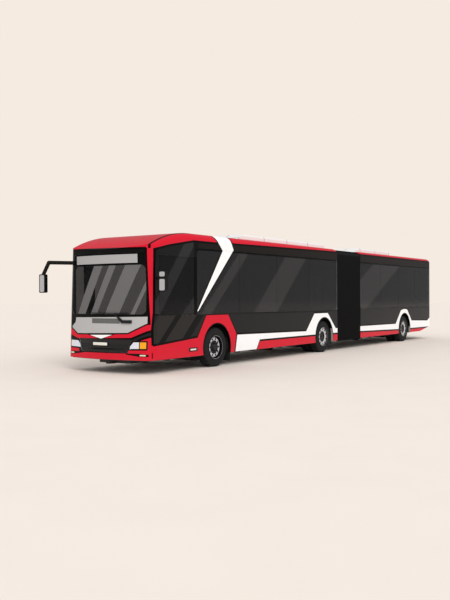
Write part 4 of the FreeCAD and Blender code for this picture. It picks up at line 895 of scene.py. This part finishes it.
seatPitch = 0.73
seats = {
    "padTop": 0.785, "deckTop": 1.48, "depth": 0.42, "backRun": 0.09, "backRise": 0.56,
    "width": 0.43, "wallX": 1.2147, "driverX": 0.785, "driverStart": 1.26,
    "padWidth": 0.385, "padLength": 0.375, "backLength": 0.485, "padMiddle": 0.205,
    "backMiddle": 0.52, "thick": 0.030, "rise": 0.040, "tuck": 0.004, "voxel": 0.0148,
    "pressure": 4.0, "clothSteps": 20, "fill": 0.6,
    "rows": {"frontLeft": [3.308 + seatPitch * i for i in range(6)],
             "frontRight": [3.308, 4.038, 6.240, 6.970],
             "rearLeft": [11.230 + seatPitch * i for i in range(4)], "rearRight": [13.300],
             "deckLeft": [15.910, 16.640], "deckRight": [15.910, 16.640]},
}


def cushionMesh(width, length):
    # A sewn pad blown up from a flat block by cloth pressure; the side that it rests on stays flat
    s = seats
    form = bmesh.new()
    box(form, (-width / 2, -length / 2, 0), (width / 2, length / 2, s["thick"]))
    data = bpy.data.meshes.new("pad")
    form.to_mesh(data)
    form.free()
    piece = bpy.data.objects.new("pad", data)
    scene.collection.objects.link(piece)
    remesh = piece.modifiers.new("remesh", "REMESH")
    remesh.mode, remesh.voxel_size = "VOXEL", s["voxel"]
    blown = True
    if blown:
        cloth = piece.modifiers.new("cloth", "CLOTH")
        cloth.settings.use_pressure = True
        cloth.settings.uniform_pressure_force = s["pressure"]
        cloth.settings.effector_weights.gravity = 0
        cloth.settings.quality = 5
        cloth.collision_settings.use_collision = False
    with bpy.context.temp_override(object=piece, active_object=piece,
                                   selected_editable_objects=[piece]):
        bpy.ops.object.modifier_apply(modifier="remesh")
        if blown:
            for step in range(1, s["clothSteps"] + 1):
                scene.frame_set(step)
            bpy.ops.object.modifier_apply(modifier="cloth")
            scene.frame_set(1)
    made = piece.data
    tall = max(v.co.z for v in made.vertices) - s["thick"] / 2
    wide = [max(abs(v.co[i]) for v in made.vertices) for i in (0, 1)]
    for v in made.vertices:
        lift = (v.co.z - s["thick"] / 2) / tall
        v.co.z = max(lift, 0) * s["rise"] - (s["tuck"] if lift <= 0 else 0)
        v.co.x *= width / 2 / wide[0]
        v.co.y *= length / 2 / wide[1]
    bpy.data.objects.remove(piece)
    print("cushion:", len(made.vertices), "points, rose", round(tall, 4))
    return made


padData = cushionMesh(seats["padWidth"], seats["padLength"])
backData = cushionMesh(seats["padWidth"], seats["backLength"])


def cushion(name, source, x, y, z, lean, body):
    data = source.copy()
    data.name = name
    data.transform(Matrix.Translation((x, y, z)) @ Matrix.Rotation(lean, 4, "X"))
    data.materials.append(seatMoquette)
    data.shade_smooth()
    piece = bpy.data.objects.new(name, data)
    scene.collection.objects.link(piece)
    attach(piece, body)


def seatCushions(name, x, start, top, body):
    s = seats
    lean = math.atan2(s["backRise"], s["backRun"])
    cushion(name + "_pad", padData, x, at(start + s["padMiddle"]), top, 0, body)
    cushion(name + "_back", backData, x,
            at(start + s["depth"] + s["backRun"] * s["backMiddle"]),
            top + s["backRise"] * s["backMiddle"], lean, body)


s = seats
seatCushions("seat_driver", s["driverX"], s["driverStart"], s["padTop"], "front_section")
for label, starts in s["rows"].items():
    sign = 1 if label.endswith("Left") else -1
    body = "front_section" if label.startswith("front") else "rear_section"
    top = s["deckTop"] if label.startswith("deck") else s["padTop"]
    for row, start in enumerate(starts):
        for column in (0, 1):
            x = sign * (s["wallX"] - s["width"] * (column + 0.5))
            seatCushions("seat_%s_%d_%d" % (label, row, column), x, start, top, body)
print("seats padded")

# A pair of poles is its station and the height of its feet
poles = {
    "radius": 0.017, "x": 0.33, "ceiling": 3.104, "bury": 0.004,
    "front": [(3.86, 0.345), (6.79, 0.345)], "rear": [(11.78, 0.345), (13.25, 0.345), (16.47, 1.04)],
}
for label, body in (("front", "front_section"), ("rear", "rear_section")):
    form = bmesh.new()
    for station, foot in poles[label]:
        for x in (poles["x"], -poles["x"]):
            tube(form, [(x, at(station), foot - poles["bury"]), (x, at(station), poles["ceiling"])],
                 poles["radius"])
    place("handrails_" + label, form, brushedSteel, body, "wheel_silver")


eye = {"place": (11.948, -21.43, 1.702), "turn": 34.345, "tilt": -0.224, "roll": -0.259,
       "lens": 45.79}
turn, tilt, roll = [math.radians(eye[k]) for k in ("turn", "tilt", "roll")]
ahead = Vector((-math.sin(turn) * math.cos(tilt), math.cos(turn) * math.cos(tilt), math.sin(tilt)))
right = Vector((math.cos(turn), math.sin(turn), 0))
up = right.cross(ahead)
right, up = (math.cos(roll) * right + math.sin(roll) * up,
             math.cos(roll) * up - math.sin(roll) * right)
camera = bpy.data.objects.new("camera", bpy.data.cameras.new("camera"))
scene.collection.objects.link(camera)
camera.matrix_world = Matrix.Translation(eye["place"]) @ Matrix(
    [right, up, -ahead]).transposed().to_4x4()
camera.data.lens = eye["lens"]
camera.data.clip_end = 500
scene.camera = camera
scene.view_settings.view_transform = "Standard"

# A wide soft sun lamp: even light along the whole length of the bus
sun = {"turn": 52, "rise": 38, "strength": 1.15, "spread": 30}
lamp = bpy.data.objects.new("keyLight", bpy.data.lights.new("keyLight", "SUN"))
lamp.data.energy = sun["strength"]
lamp.data.angle = math.radians(sun["spread"])
lamp.rotation_euler = Euler((math.radians(90 - sun["rise"]), 0, math.radians(sun["turn"])))
scene.collection.objects.link(lamp)

# The sky: pale where the camera sees it, white as a light, and dimmer in reflections, so that
# gloss doesn't bleach the dome
world = bpy.data.worlds.new("studio")
scene.world = world
world.use_nodes = True
world.node_tree.nodes.clear()
path = addNode(world, "LightPath")
seen = addNode(world, "Math", [path.outputs["Is Camera Ray"], path.outputs["Is Transmission Ray"]],
               operation="MAXIMUM")
strength = addNode(world, "MapRange", {"Value": path.outputs["Is Glossy Ray"], "To Min": 0.78,
                   "To Max": 0.36})
plain = addNode(world, "Background", {"Color": toLinear("#ffffff"), "Strength": strength})
shown = addNode(world, "Background", {"Color": toLinear("#f5ebe1"), "Strength": 1.0})
mixed = addNode(world, "MixShader", [seen, plain, shown])
addNode(world, "OutputWorld", {"Surface": mixed})

form = bmesh.new()
bmesh.ops.create_grid(form, x_segments=1, y_segments=1, size=150)
ground, spot = startMaterial("paintedFloor")
# Matt painted screed: pale cream with a very faint cloud
tone = paintOver(ground, grain(ground, spot, 900), "#f8eee5", "#f4e9df")
finishMaterial(ground, {"Base Color": tone, "Roughness": 0.9, "Specular IOR Level": 0.1})
floor = place("floor", form, ground, smooth=0)
floor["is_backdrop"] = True
print("camera, lights and floor set")

low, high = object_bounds()
